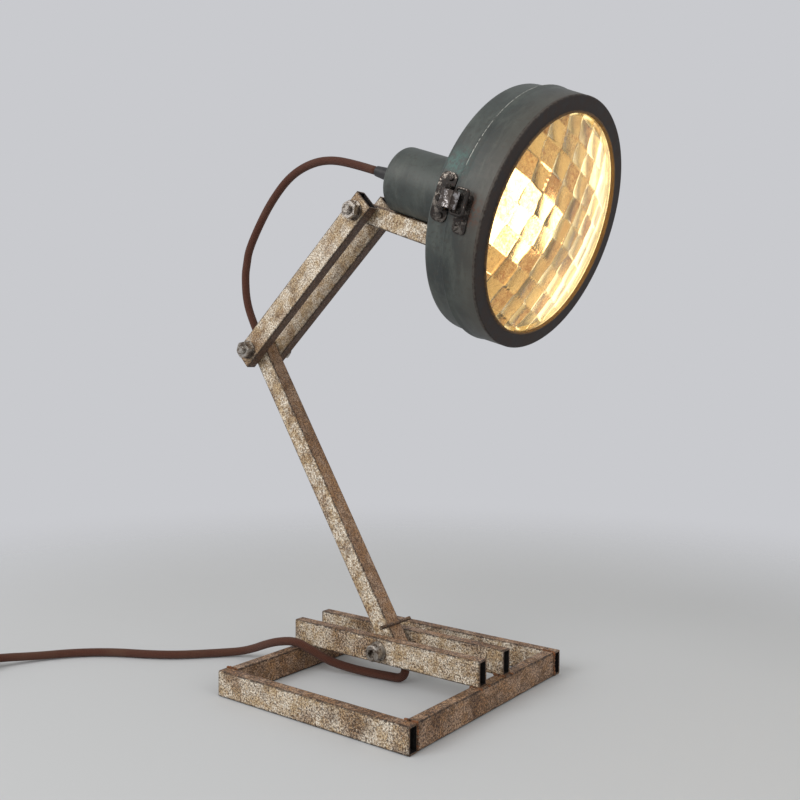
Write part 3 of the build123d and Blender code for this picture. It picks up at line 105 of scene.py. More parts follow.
# %% [markdown]
# ## A short hand for node trees
# Materials and geometry are both trees of nodes. Written out in full they hide what they mean,
# so this small class adds a node and fills its sockets in one line. What goes into a socket is
# a number, a colour or another node's output, and the class links or sets it as it needs.

# %% Node helper
class Tree:
    """One node tree, with short ways to add the nodes this lamp needs."""

    def __init__(self, tree):
        self.tree = tree

    def add(self, kind, inputs=(), **settings):
        node = self.tree.nodes.new(kind)
        for key, value in settings.items():
            setattr(node, key, value)
        for key, value in dict(inputs).items():
            if isinstance(value, bpy.types.NodeSocket):
                self.tree.links.new(value, node.inputs[key])
            else:
                node.inputs[key].default_value = value
        return node

    def calc(self, operation, *values):
        return self.add("ShaderNodeMath", enumerate(values), operation=operation).outputs[0]

    def vector(self, operation, *values):
        node = self.add("ShaderNodeVectorMath", enumerate(values), operation=operation)
        return node.outputs["Value" if operation in ("DOT_PRODUCT", "LENGTH", "DISTANCE") else "Vector"]

    def noise(self, place, scale, detail=2.0, roughness=0.5, distortion=0.0):
        inputs = {"Vector": place, "Scale": scale, "Detail": detail}
        inputs |= {"Roughness": roughness, "Distortion": distortion}
        return self.add("ShaderNodeTexNoise", inputs).outputs[0]

    def step(self, value, low, high, bottom=0.0, top=1.0):
        """Smooth step from bottom to top as value goes from low to high; low may be the larger."""
        inputs = {0: value, 1: low, 2: high, 3: bottom, 4: top}
        return self.add("ShaderNodeMapRange", inputs, interpolation_type="SMOOTHSTEP").outputs[0]

    def mix(self, share, first, second, mode="MIX"):
        inputs = {0: share, 6: first, 7: second}
        return self.add("ShaderNodeMix", inputs, data_type="RGBA", blend_type=mode).outputs[2]

    def bump(self, height, depth, strength=1.0):
        inputs = {"Height": height, "Distance": depth, "Strength": strength}
        return self.add("ShaderNodeBump", inputs).outputs[0]


def sockets(tree, inputs, outputs):
    """Gives a group its sockets, as pairs of name and kind, and returns its input node."""
    for side, pairs in (("INPUT", inputs), ("OUTPUT", outputs)):
        for name, kind in pairs:
            tree.interface.new_socket(name, in_out=side, socket_type="NodeSocket" + kind)
    return tree.nodes.new("NodeGroupInput")


def rgb(red, green, blue):
    """Colour as seen on a screen, 0 to 255, as the linear numbers that a shader takes."""
    parts = [value / 255 for value in (red, green, blue)]
    return tuple(v / 12.92 if v <= 0.04045 else ((v + 0.055) / 1.055) ** 2.4 for v in parts) + (1.0,)


print("paint on screen 214, 204, 188 is", [round(v, 3) for v in rgb(214, 204, 188)[:3]])

# %% [markdown]
# ## Each finish starts the same way
# A finish reads Object coordinates, so its pattern stays on the piece when the lamp moves.
# A Mapping node turns them into the piece's own directions, in millimetres: x runs along a tube
# or along the head's axis. The sizes of spots and scratches can then be given as they are measured.

# %% Material helper
def finish(name, centre=None, turn=(0, 0, 0)):
    """New material: its tree, the place on the piece in millimetres, and its shader."""
    material = bpy.data.materials.new(name)
    material.use_nodes = True
    tree = Tree(material.node_tree)
    shader = material.node_tree.nodes["Principled BSDF"]
    place = tree.add("ShaderNodeTexCoord").outputs["Object"]
    inputs = {"Vector": place, "Location": centre or (0, 0, 0), "Rotation": turn, "Scale": (MM, MM, MM)}
    place = tree.add("ShaderNodeMapping", inputs, vector_type="TEXTURE").outputs[0]
    return material, tree, place, shader


def feed(tree, shader, **inputs):
    """Links or sets the shader's sockets; an underscore stands for a space."""
    for key, value in inputs.items():
        socket = shader.inputs[key.replace("_", " ")]
        if isinstance(value, bpy.types.NodeSocket):
            tree.tree.links.new(value, socket)
        else:
            socket.default_value = value


def wear(names, material):
    """Puts a material on CAD nodes."""
    for name in names:
        nodes[name].data.materials.clear()
        nodes[name].data.materials.append(material)


# %% [markdown]
# ## Distressed cream paint
# The frame is welded from flat and square tube, painted cream and rubbed back, so dark primer
# shows through as fine grains, in patches, and as lines along the edges. Tops, undersides and
# faces that look to the right are browner than those that look to the front, and wear more; the
# browning is partly painted shade, and undersides are darkened further with painted shade. A tube
# is a straight prism, so the distance to its edges can be worked out from the place alone: on the
# skin, the larger of the distances to the two pairs of faces is the distance to the nearest edge, and
# the smaller one is nought. Inside the tube the smaller one is the wall's thickness, which tells the
# inside, painted nearly black as painted shade, from the skin. One group holds the paint, and each
# tube's material gives it its own centre, turn and size.

# %% Cream paint group
cream = bpy.data.node_groups.new("distressed cream paint", "ShaderNodeTree")
given = sockets(
    cream,
    [("Place", "Vector"), ("Half Length", "Float"), ("Half Width", "Float"), ("Half Height", "Float"),
     ("Seed", "Float"), ("Wear", "Float")],
    [("Color", "Color"), ("Roughness", "Float"), ("Metallic", "Float"), ("Normal", "Vector")],
).outputs
paint = Tree(cream)
away = paint.vector("ABSOLUTE", given["Place"])
away = paint.add("ShaderNodeSeparateXYZ", {0: away}).outputs
to_end = paint.calc("SUBTRACT", given["Half Length"], away[0])
to_side = paint.calc("SUBTRACT", given["Half Width"], away[1])
to_top = paint.calc("SUBTRACT", given["Half Height"], away[2])
to_edge = paint.calc("MAXIMUM", to_side, to_top)
depth = paint.calc("MINIMUM", to_side, to_top)
shift = paint.add("ShaderNodeCombineXYZ", {0: given["Seed"], 1: given["Seed"], 2: 3.0}).outputs[0]
spot = paint.vector("ADD", given["Place"], shift)
drawn = paint.vector("MULTIPLY", spot, (0.22, 1.0, 1.0))

wobble = paint.noise(spot, 0.45, 3.0, 0.6)
grain = paint.noise(spot, 0.6, 3.0, 0.8)
brushed = paint.noise(drawn, 0.9, 4.0, 0.7)
fine = paint.noise(spot, 2.2, 2.0, 0.6)
cloud = paint.noise(spot, 0.035, 3.0, 0.55)
tone = paint.noise(spot, 0.11, 4.0, 0.6)
flake = paint.noise(spot, 0.06, 7.0, 0.72, 0.6)

facing = paint.add("ShaderNodeTexCoord").outputs["Normal"]
flat_on = paint.calc("ABSOLUTE", paint.vector("DOT_PRODUCT", facing, (0.0, 1.0, 0.0)))
# Faces that don't look along Y wear more and are browner, partly as painted shade; the next mask marks
# undersides for darker painted shade.
worn_and_shaded_faces = paint.step(flat_on, 0.85, 0.35)
painted_under_shade = paint.step(paint.vector("DOT_PRODUCT", facing, (0.45, 0.1, -0.88)), 0.5, 0.9)
density = paint.calc("MULTIPLY_ADD", given["Wear"], 0.02, paint.calc("MULTIPLY", cloud, 0.16))
density = paint.calc("MULTIPLY_ADD", worn_and_shaded_faces, 0.015, density)
speck = paint.step(paint.calc("ADD", grain, density), 0.585, 0.7)
rubbed = paint.step(paint.calc("MULTIPLY_ADD", worn_and_shaded_faces, 0.04, brushed), 0.5, 0.68)
patch = paint.step(paint.calc("MULTIPLY_ADD", worn_and_shaded_faces, 0.06, flake), 0.52, 0.68)
ragged = paint.calc("MULTIPLY_ADD", wobble, 3.4, -1.7)
edge = paint.step(paint.calc("ADD", to_edge, ragged), 1.6, 0.3)
edge = paint.calc("MULTIPLY", edge, paint.step(tone, 0.38, 0.52, 0.75, 1.0))
end = paint.step(paint.calc("ADD", to_end, ragged), 1.6, 0.4, 0.0, 0.55)
worn = paint.calc("MAXIMUM", edge, end)
# Painted shade: inside the tube, past the wall's thickness, the paint turns nearly black.
painted_inner_shade = paint.step(depth, 1.25, 1.42)

coat = paint.mix(paint.step(tone, 0.38, 0.6), rgb(214, 192, 156), rgb(255, 250, 238))
coat = paint.mix(paint.step(cloud, 0.49, 0.66, 0.0, 0.6), coat, rgb(172, 134, 92))
# Painted shade: browner on faces that don't look along Y, dark brown on undersides.
coat = paint.mix(paint.calc("MULTIPLY", worn_and_shaded_faces, 0.68), coat, rgb(178, 124, 72))
coat = paint.mix(paint.calc("MULTIPLY", painted_under_shade, 0.9), coat, rgb(90, 60, 40))
coat = paint.mix(paint.calc("MULTIPLY", patch, 0.62), coat, rgb(104, 74, 48))
coat = paint.mix(paint.calc("MULTIPLY", rubbed, 0.3), coat, rgb(96, 74, 54))
crackle = paint.step(paint.noise(spot, 0.8, 3.0, 0.8), 0.39, 0.61)
coat = paint.mix(1.0, coat, paint.mix(crackle, rgb(150, 124, 94), rgb(255, 255, 255)), "MULTIPLY")
flash = paint.step(paint.noise(spot, 1.0, 2.0, 0.7), 0.56, 0.7)
flash = paint.calc("MULTIPLY", flash, paint.step(worn_and_shaded_faces, 1.0, 0.0, 0.25, 0.8))
coat = paint.mix(flash, coat, rgb(255, 248, 234))
strength = paint.calc("MULTIPLY_ADD", given["Wear"], 0.35, 0.55)
coat = paint.mix(paint.calc("MULTIPLY", speck, strength), coat, rgb(44, 28, 18))
coat = paint.mix(paint.calc("MULTIPLY", worn, 0.86), coat, rgb(46, 35, 28))
# Painted shade on the tube's inside.
coat = paint.mix(painted_inner_shade, coat, rgb(22, 18, 16))

rough = paint.calc("MULTIPLY_ADD", patch, 0.16, 0.54)
rough = paint.calc("MULTIPLY_ADD", worn, -0.12, rough)
relief = paint.calc("MULTIPLY_ADD", speck, -0.5, paint.calc("MULTIPLY", fine, 0.35))
relief = paint.calc("MULTIPLY_ADD", patch, -0.35, relief)
relief = paint.calc("MULTIPLY_ADD", worn, -0.5, relief)
paint.add("NodeGroupOutput", {
    "Color": coat,
    "Roughness": rough,
    "Metallic": paint.calc("MULTIPLY", worn, 0.45),
    "Normal": paint.bump(relief, 0.00022, 0.9),
})
print("paint group nodes:", len(cream.nodes))

# %% [markdown]
# ## Paint on each tube
# Ten tubes and the stop rod share the group. A tube in the arms' plane is turned about Y by its
# heading, the base's side tubes are turned about Z, and the numbers are half of each tube's length,
# width and height in millimetres, with its share of wear.

# %% Tubes
def painted_tube(node, half_sizes, turn, wear_share, seed):
    """Paints one tube; its centre comes from the CAD node's box."""
    low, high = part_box(node)
    material, tree, place, shader = finish("cream_paint_" + node, (low + high) / 2, turn)
    group = tree.add("ShaderNodeGroup", node_tree=cream)
    tree.tree.links.new(place, group.inputs["Place"])
    sizes = dict(zip(("Half Length", "Half Width", "Half Height"), half_sizes))
    for name, value in (sizes | {"Seed": seed, "Wear": wear_share}).items():
        group.inputs[name].default_value = value
    for name in ("Base Color", "Roughness", "Metallic", "Normal"):
        tree.tree.links.new(group.outputs[name.replace("Base ", "")], shader.inputs[name])
    wear([node], material)


FLAT_STOCK, SQUARE_STOCK, ROD = (5.0, 10.0), (8.0, 8.0), (1.5, 19.0, 1.5)
LEVEL, ACROSS = (0, 0, 0), (0, 0, radians(90))
SEED_STEP = 40.0


def tilt(angle):
    return (0, -radians(angle), 0)


tubes = {
    "base_front_tube": ((92.0, *FLAT_STOCK), LEVEL, 1.0),
    "base_back_tube": ((92.0, *FLAT_STOCK), LEVEL, 1.0),
    "base_left_tube": ((96.0, *FLAT_STOCK), ACROSS, 1.0),
    "base_right_tube": ((96.0, *FLAT_STOCK), ACROSS, 1.0),
    "rail_front": ((92.5, *FLAT_STOCK), LEVEL, 1.0),
    "rail_back": ((92.5, *FLAT_STOCK), LEVEL, 1.0),
    "lower_arm_tube": ((150.5, *SQUARE_STOCK), tilt(LOWER_HEADING), 0.35),
    "upper_arm_front_tube": ((94.25, *FLAT_STOCK), tilt(UPPER_HEADING), 0.15),
    "upper_arm_back_tube": ((94.25, *FLAT_STOCK), tilt(UPPER_HEADING), 0.15),
    "head_arm_tube": ((57.0, *SQUARE_STOCK), tilt(HEAD_HEADING), 0.25),
    "arm_stop_rod": (ROD, LEVEL, 1.0),
}
for number, (node, values) in enumerate(tubes.items()):
    painted_tube(node, *values, SEED_STEP * number)
print("painted tubes:", len(tubes))

# %% [markdown]
# ## The head's dark patina
# The head is an old sheet steel headlamp in a green-grey paint gone dull. Its colour drifts slowly,
# with faint runs round the drum, small pale scuffs, a pale line along the seam of the rim near the
# top, a greener touch above the latch and some rust beside it. Towards the glass it turns warmer and
# browner, which is painted glow from the lit glass. The place is given along the head's axis from
# the glass, to the far side and up, so each of these marks sits at a measured spot.

# %% Head paint
HEAD_TURN = tilt(HEAD_HEADING)
ABOVE_LATCH, BESIDE_LATCH = (-33.0, -86.0, 22.0), (-13.0, -92.0, -4.0)
SEAM_STATION = -25.2


def near(tree, place, centre, reach):
    """One at a point of the place, falling to nought at its reach in millimetres."""
    return tree.step(tree.vector("DISTANCE", place, centre), reach, reach * 0.25)


def head_paint(name):
    material, tree, place, shader = finish(name, HEAD_FRONT, HEAD_TURN)
    along = tree.add("ShaderNodeSeparateXYZ", {0: place}).outputs
    drawn = tree.vector("MULTIPLY", place, (1.0, 0.35, 0.3))
    cloud = tree.noise(place, 0.022, 4.0, 0.6)
    runs = tree.noise(drawn, 0.16, 5.0, 0.6, 0.4)
    fleck = tree.noise(place, 0.35, 4.0, 0.72)
    pits = tree.noise(place, 1.6, 3.0, 0.6)
    coat = tree.mix(tree.step(cloud, 0.36, 0.64), rgb(48, 54, 54), rgb(70, 77, 75))
    coat = tree.mix(tree.step(runs, 0.45, 0.72, 0.0, 0.55), coat, rgb(86, 92, 88))
    coat = tree.mix(tree.step(fleck, 0.5, 0.34, 0.0, 0.6), coat, rgb(56, 54, 50))
    # Painted glow: the front 24 mm of the head are tinted warm brown, as if lit by the glass.
    painted_warm_glow = tree.calc("MULTIPLY", tree.step(along[0], -24.0, 0.0), 0.45)
    coat = tree.mix(painted_warm_glow, coat, rgb(80, 73, 64))
    teal = tree.step(fleck, 0.4, 0.6, 0.1, 0.7)
    teal = tree.calc("MULTIPLY", near(tree, place, ABOVE_LATCH, 16.0), teal)
    coat = tree.mix(teal, coat, rgb(70, 108, 104))
    rust = tree.step(fleck, 0.42, 0.58)
    rust = tree.calc("MULTIPLY", near(tree, place, BESIDE_LATCH, 17.0), rust)
    coat = tree.mix(tree.calc("MULTIPLY", rust, 0.8), coat, rgb(88, 52, 34))
    scuff = tree.step(tree.noise(place, 0.9, 4.0, 0.75, 1.5), 0.66, 0.72, 0.0, 0.55)
    coat = tree.mix(scuff, coat, rgb(150, 156, 152))
    # A pale, partly metallic line along the rim's seam near the top.
    seam = tree.calc("ABSOLUTE", tree.calc("SUBTRACT", along[0], SEAM_STATION))
    seam = tree.step(seam, 0.8, 0.2)
    where = tree.step(tree.calc("SUBTRACT", along[2], tree.calc("MULTIPLY", along[1], 0.5)), 58.0, 78.0)
    bare = tree.calc("MULTIPLY", tree.calc("MULTIPLY", seam, where), tree.step(fleck, 0.42, 0.56))
    coat = tree.mix(bare, coat, rgb(206, 206, 200))
    relief = tree.calc("MULTIPLY_ADD", pits, 0.4, tree.calc("MULTIPLY", runs, 0.7))
    relief = tree.calc("SUBTRACT", relief, scuff)
    rough = tree.calc("MULTIPLY_ADD", fleck, 0.3, 0.38)
    feed(tree, shader, Base_Color=coat, Roughness=rough, Metallic=tree.calc("MULTIPLY", bare, 0.8),
         Normal=tree.bump(relief, 0.00018, 0.8))
    return material


wear(["rear_shell", "socket_cup", "bezel_band"], head_paint("head_patina"))

# %% [markdown]
# The ring that clamps the glass is nearly black, a little brown, and rubbed thin at its outer edge.
# Its inner edge, next to the glass, is tinted warm brown and made a little metallic as painted glow
# from the lit glass.

# %% Front ring
material, tree, place, shader = finish("ring_charcoal", HEAD_FRONT, HEAD_TURN)
flat_place = tree.vector("MULTIPLY", place, (0.0, 1.0, 1.0))
radius = tree.vector("LENGTH", flat_place)
mottle = tree.noise(place, 0.12, 5.0, 0.65)
ragged = tree.calc("MULTIPLY_ADD", tree.noise(place, 0.5, 3.0, 0.6), 2.6, -1.3)
# Painted glow: the inner edge next to the glass is warm brown and a little metallic.
painted_glass_glow = tree.step(tree.calc("ADD", radius, ragged), 81.4, 80.2)
rim = tree.step(tree.calc("ADD", radius, ragged), 90.6, 91.8)
coat = tree.mix(tree.step(mottle, 0.35, 0.68), rgb(28, 21, 18), rgb(46, 35, 30))
coat = tree.mix(tree.calc("MULTIPLY", painted_glass_glow, 0.7), coat, rgb(124, 96, 62))
coat = tree.mix(tree.calc("MULTIPLY", rim, 0.35), coat, rgb(112, 108, 102))
relief = tree.calc("ADD", tree.noise(place, 1.4, 3.0, 0.6), mottle)
feed(tree, shader, Base_Color=coat, Roughness=tree.step(mottle, 0.3, 0.7, 0.52, 0.7),
     Specular_IOR_Level=0.35, Metallic=tree.calc("MULTIPLY", painted_glass_glow, 0.4),
     Normal=tree.bump(relief, 0.00012, 0.8))
wear(["front_ring"], material)

# %% [markdown]
# ## Bare metals
# Bolts, nuts and washers are aged steel: bright where a spanner rubs, dark in the hollows.
# The latch's lever was chromed and has pitted. The reflector is satin aluminium. One function
# makes them all, because they differ only in their tones, their smoothness and how dirty they are.

# %% Metals
def metal(name, bright, grime, rust, roughness, pitting, dirt=0.5):
    """Metal whose hollows hold grime, with a share of rust, and pits of the given depth in metres."""
    material, tree, place, shader = finish(name)
    cloud = tree.noise(place, 0.16, 5.0, 0.65)
    spots = tree.noise(place, 0.8, 4.0, 0.7)
    scratch = tree.noise(tree.vector("MULTIPLY", place, (1.0, 0.15, 1.0)), 2.4, 3.0, 0.7)
    dirty = tree.calc("ADD", cloud, tree.calc("MULTIPLY", spots, 0.5))
    dirty = tree.step(dirty, 0.9 - dirt * 0.4, 0.98 - dirt * 0.3)
    coat = tree.mix(dirty, bright, grime)
    coat = tree.mix(tree.step(spots, 0.56, 0.68, 0.0, 0.75), coat, rust)
    relief = tree.calc("MULTIPLY_ADD", scratch, 0.3, tree.calc("MULTIPLY", spots, -1.0))
    rough = tree.calc("MULTIPLY_ADD", dirty, 0.25, roughness)
    feed(tree, shader, Base_Color=coat, Roughness=rough, Metallic=tree.step(dirty, 0.0, 1.0, 1.0, 0.55),
         Normal=tree.bump(relief, pitting, 0.7))
    return material


steel = metal("aged_steel", rgb(178, 172, 164), rgb(86, 75, 66), rgb(92, 62, 44), 0.38, 0.00012)
dark_steel = metal("latch_steel", rgb(112, 106, 100), rgb(36, 32, 30), rgb(74, 44, 30), 0.32, 0.00015, 0.8)
chrome = metal("pitted_chrome", rgb(176, 172, 172), rgb(62, 54, 50), rgb(58, 42, 34), 0.2, 0.0003, 0.8)
brass = metal("brass_contacts", rgb(214, 184, 120), rgb(120, 92, 52), rgb(92, 70, 44), 0.3, 0.00005, 0.3)
satin = metal("reflector_satin", rgb(216, 202, 172), rgb(178, 150, 106), rgb(146, 112, 66), 0.28, 0.00008)
wear([n for n in nodes if n.endswith(("_bolt", "_nut", "_washers", "_spacers"))], steel)
wear(["mount_screws", "lens_keeper"], steel)
wear(["latch_plate", "latch_rivets", "latch_pin", "latch_bail", "latch_lug"], dark_steel)
wear(["hinge_shell_leaf", "hinge_rim_leaf", "hinge_pin"], dark_steel)
wear(["latch_lever"], chrome)
wear(["bulb_cap", "plug_pins"], brass)
wear(["reflector"], satin)
print("metals:", steel.name, dark_steel.name, chrome.name, brass.name, satin.name)

# %% [markdown]
# ## Plastics, rubber and the holder
# The switch, the plug and the gland are black plastic with a fine moulded grain, rubbed greyer on
# their edges by handling. The holder is glazed, and the gasket is soft black rubber.

# %% Moulded and glazed finishes
def moulded(name, deep, pale, roughness, grain):
    """Smooth material with a fine grain and slow changes of tone."""
    material, tree, place, shader = finish(name)
    tone = tree.noise(place, 0.09, 4.0, 0.6)
    fine = tree.noise(place, 3.0, 2.0, 0.6)
    handled = tree.step(tree.calc("MULTIPLY_ADD", fine, 0.3, tone), 0.5, 0.85)
    feed(tree, shader, Base_Color=tree.mix(handled, deep, pale),
         Roughness=tree.calc("MULTIPLY_ADD", handled, 0.14, roughness), Normal=tree.bump(fine, grain, 0.6))
    return material


black = moulded("black_moulding", rgb(30, 30, 32), rgb(58, 57, 58), 0.42, 0.00006)
wear(["cord_gland", "switch_lower", "switch_upper", "switch_rocker", "plug_body"], black)
wear(["lens_gasket"], moulded("gasket_rubber", rgb(28, 27, 27), rgb(46, 44, 42), 0.72, 0.0001))
wear(["lamp_holder"], moulded("holder_glaze", rgb(222, 216, 204), rgb(196, 184, 164), 0.22, 0.00003))
core_plastic = moulded("wire_cover", rgb(104, 62, 40), rgb(130, 84, 56), 0.4, 0.00003)

# %% [markdown]
# ## The bulb
# The bulb is lit, so its glass is simply a light of its own: warm, and brighter in the middle,
# where the filament is. Its place runs along the head's axis, as the head paint's does.

# %% Lit bulb
material, tree, place, shader = finish("lit_bulb", HEAD_FRONT, HEAD_TURN)
BULB_MIDDLE = (-38.0, 0.0, 0.0)
heart = tree.step(tree.vector("DISTANCE", place, BULB_MIDDLE), 58.0, 26.0, 0.35, 1.0)
frost = tree.noise(place, 0.3, 3.0, 0.6)
glow = tree.mix(heart, rgb(255, 190, 110), rgb(255, 226, 176))
power = tree.calc("MULTIPLY", heart, tree.step(frost, 0.2, 0.8, 3.8, 4.8))
feed(tree, shader, Base_Color=glow, Roughness=0.5, Emission_Color=glow, Emission_Strength=power)
wear(["bulb_glass"], material)

# %% [markdown]
# ## The pressed glass
# The headlamp's glass is smooth outside and pressed into square blocks inside, each a small
# crowned lens with its own tilt, so each shows the bulb and the reflector in another place.
# That is a shape with a rule, which is what Geometry Nodes are for: a grid is bent onto a disc,
# its outside follows a sphere, and its inside follows a smaller sphere less the crown of the block
# that each point lies in. The rim's wall is the edge of the outside, extruded back.

# %% Glass tree
glass_tree = bpy.data.node_groups.new("block glass", "GeometryNodeTree")
given = sockets(
    glass_tree,
    [("Radius", "Float"), ("Dome Radius", "Float"), ("Rise", "Float"), ("Thickness", "Float"),
     ("Face", "Float"), ("Block", "Float"), ("Crown", "Float"), ("Tilt", "Float"),
     ("Turn", "Float"), ("Steps", "Int"), ("Seed", "Float"), ("Glass", "Material")],
    [("Geometry", "Geometry")],
).outputs
glass = Tree(glass_tree)
inputs = {"Size X": 2.0, "Size Y": 2.0, "Vertices X": given["Steps"], "Vertices Y": given["Steps"]}
grid = glass.add("GeometryNodeMeshGrid", inputs).outputs[0]
position = glass.add("GeometryNodeInputPosition").outputs[0]
square = glass.add("ShaderNodeSeparateXYZ", {0: position}).outputs


def on_disc(own, other):
    """Squeezes one coordinate of the square grid so that the square becomes a disc."""
    squeeze = glass.calc("SQRT", glass.calc("MULTIPLY_ADD", glass.calc("POWER", other, 2.0), -0.5, 1.0))
    return glass.calc("MULTIPLY", glass.calc("MULTIPLY", own, squeeze), given["Radius"])


def squares(first, second):
    """Sum of two squares."""
    return glass.calc("ADD", glass.calc("POWER", first, 2.0), glass.calc("POWER", second, 2.0))


u, v = on_disc(square[0], square[1]), on_disc(square[1], square[0])
spread = glass.calc("SQRT", squares(u, v))
edge = given["Dome Radius"]
ball = glass.calc("DIVIDE", squares(edge, given["Rise"]), glass.calc("MULTIPLY", given["Rise"], 2.0))


def dome(edge, base):
    """Height of the sphere's cap that starts from base at its edge, and flat outside the edge."""
    heights = []
    for reach in (glass.calc("MINIMUM", spread, edge), edge):
        rest = glass.calc("SUBTRACT", glass.calc("POWER", ball, 2.0), glass.calc("POWER", reach, 2.0))
        heights.append(glass.calc("SQRT", rest))
    return glass.calc("ADD", glass.calc("SUBTRACT", *heights), base)


def in_blocks(own, other, sign):
    """Coordinate in the turned block grid, counted in blocks."""
    own = glass.calc("MULTIPLY", own, glass.calc("COSINE", given["Turn"]))
    other = glass.calc("MULTIPLY", glass.calc("MULTIPLY", other, sign), glass.calc("SINE", given["Turn"]))
    return glass.calc("DIVIDE", glass.calc("ADD", own, other), given["Block"])


blocks = [in_blocks(u, v, 1.0), in_blocks(v, u, -1.0)]
cells = [glass.calc("ROUND", value) for value in blocks]
parts = [glass.calc("SUBTRACT", value, cell) for value, cell in zip(blocks, cells)]
code = glass.calc("MULTIPLY_ADD", cells[0], 31.0, glass.calc("MULTIPLY_ADD", cells[1], 17.0, 1000.0))
code = glass.add("FunctionNodeFloatToInt", {0: code}).outputs[0]


def chance(low, high, extra):
    """A number for each block, the same at all of its points."""
    seed = glass.calc("ADD", given["Seed"], extra)
    inputs = {2: low, 3: high, "ID": code, "Seed": seed}
    return glass.add("FunctionNodeRandomValue", inputs, data_type="FLOAT").outputs[1]


bow = glass.calc("MULTIPLY_ADD", squares(*parts), -2.0, 1.0)
bow = glass.calc("MULTIPLY", bow, given["Crown"])
bow = glass.calc("MULTIPLY", bow, chance(0.55, 1.3, 1.0))
lean = [glass.calc("MULTIPLY", part, chance(-1.0, 1.0, 2.0 + axis)) for axis, part in enumerate(parts)]
lean = glass.calc("MULTIPLY", glass.calc("ADD", *lean), given["Tilt"])
fade = glass.step(spread, edge, glass.calc("SUBTRACT", edge, given["Thickness"]))
press = glass.calc("MULTIPLY", glass.calc("ADD", bow, lean), fade)
back = glass.calc("SUBTRACT", given["Face"], given["Thickness"])
outside = dome(edge, given["Face"])
inside = glass.calc("SUBTRACT", dome(glass.calc("SUBTRACT", edge, given["Thickness"]), back), press)

# The tone is stored on the flat grid, because its field reads the places before they are set.
parity = glass.calc("ABSOLUTE", glass.calc("MODULO", glass.calc("ADD", *cells), 2.0))
block_tone = glass.calc("MULTIPLY_ADD", parity, 0.5, chance(0.1, 0.5, 4.0))
inputs = {"Geometry": grid, "Name": "block_tone", "Value": block_tone}
toned = glass.add("GeometryNodeStoreNamedAttribute", inputs, data_type="FLOAT", domain="POINT").outputs[0]
skins = []
for flat_grid, height in ((grid, outside), (toned, inside)):
    place = glass.add("ShaderNodeCombineXYZ", {0: u, 1: v, 2: height}).outputs[0]
    inputs = {"Geometry": flat_grid, "Position": place}
    skins.append(glass.add("GeometryNodeSetPosition", inputs).outputs[0])
lone = glass.add("GeometryNodeInputMeshEdgeNeighbors").outputs[0]
lone = glass.add("FunctionNodeCompare", {2: lone, 3: 1}, data_type="INT", operation="EQUAL")
lone = lone.outputs[0]
down = glass.add("ShaderNodeCombineXYZ", {2: glass.calc("MULTIPLY", given["Thickness"], -1.0)}).outputs[0]
inputs = {"Mesh": skins[0], "Selection": lone, "Offset": down, "Offset Scale": 1.0}
wall = glass.add("GeometryNodeExtrudeMesh", inputs, mode="EDGES").outputs[0]
join = glass.add("GeometryNodeJoinGeometry")
for skin in (wall, glass.add("GeometryNodeFlipFaces", {0: skins[1]}).outputs[0]):
    glass_tree.links.new(skin, join.inputs[0])
inputs = {"Geometry": join.outputs[0], "Distance": 0.00001}
whole = glass.add("GeometryNodeMergeByDistance", inputs).outputs[0]
whole = glass.add("GeometryNodeRealizeInstances", {0: whole}).outputs[0]
inputs = {"Geometry": whole, "Material": given["Glass"]}
whole = glass.add("GeometryNodeSetMaterial", inputs).outputs[0]
glass.add("NodeGroupOutput", {0: whole})
print("glass tree nodes:", len(glass_tree.nodes))

# %% [markdown]
# A tree needs an object to run on. The next function gives it an empty mesh, sets its inputs by
# their identifiers, takes the evaluated result as a plain mesh, and sends that to its place.

# %% From tree to mesh
def grow(name, tree, place=None, **values):
    """Runs a geometry tree once and returns its result as a plain mesh object."""
    host = bpy.data.objects.new(name, bpy.data.meshes.new(name + "_seed"))
    bpy.context.scene.collection.objects.link(host)
    modifier = host.modifiers.new("grow", "NODES")
    modifier.node_group = tree
    for item in tree.interface.items_tree:
        if item.in_out == "INPUT" and item.name in values:
            modifier[item.identifier] = values[item.name]
    bpy.context.view_layer.update()
    evaluated = host.evaluated_get(bpy.context.evaluated_depsgraph_get())
    mesh = bpy.data.meshes.new_from_object(evaluated)
    mesh.name = name
    host.modifiers.remove(modifier)
    host.data = mesh
    if place is not None:
        mesh.transform(place)
    return host


# %% [markdown]
# ## Amber glass
# Light comes through the glass from the bulb, and each block bends it its own way. The old glass
# is a little amber, more in some blocks than in others. The side far from the camera is where most
# of the scattered light shows, so the glass is given a painted glow: a faint warm light of its own
# everywhere, strongest on that side.

# %% Glass piece
material, tree, place, shader = finish("amber_glass", HEAD_FRONT, HEAD_TURN)
tone = tree.add("ShaderNodeAttribute", attribute_name="block_tone").outputs["Fac"]
along = tree.add("ShaderNodeSeparateXYZ", {0: place}).outputs
radius = tree.vector("LENGTH", tree.vector("MULTIPLY", place, (0.0, 1.0, 1.0)))
haze = tree.noise(place, 0.09, 5.0, 0.7, 0.8)
blotch = tree.noise(place, 0.34, 5.0, 0.75, 1.0)
pressed = tree.step(tone, 0.0, 0.08)
mixed = tree.calc("ADD", tree.calc("MULTIPLY", tone, 0.75), tree.calc("MULTIPLY_ADD", blotch, 2.0, -1.0))
tint = tree.mix(tree.step(mixed, 0.1, 0.95), rgb(255, 240, 196), rgb(158, 92, 30))
tint = tree.mix(pressed, rgb(255, 248, 232), tint)
glow = tree.mix(tree.step(mixed, 0.1, 0.9), rgb(255, 218, 130), rgb(132, 74, 22))
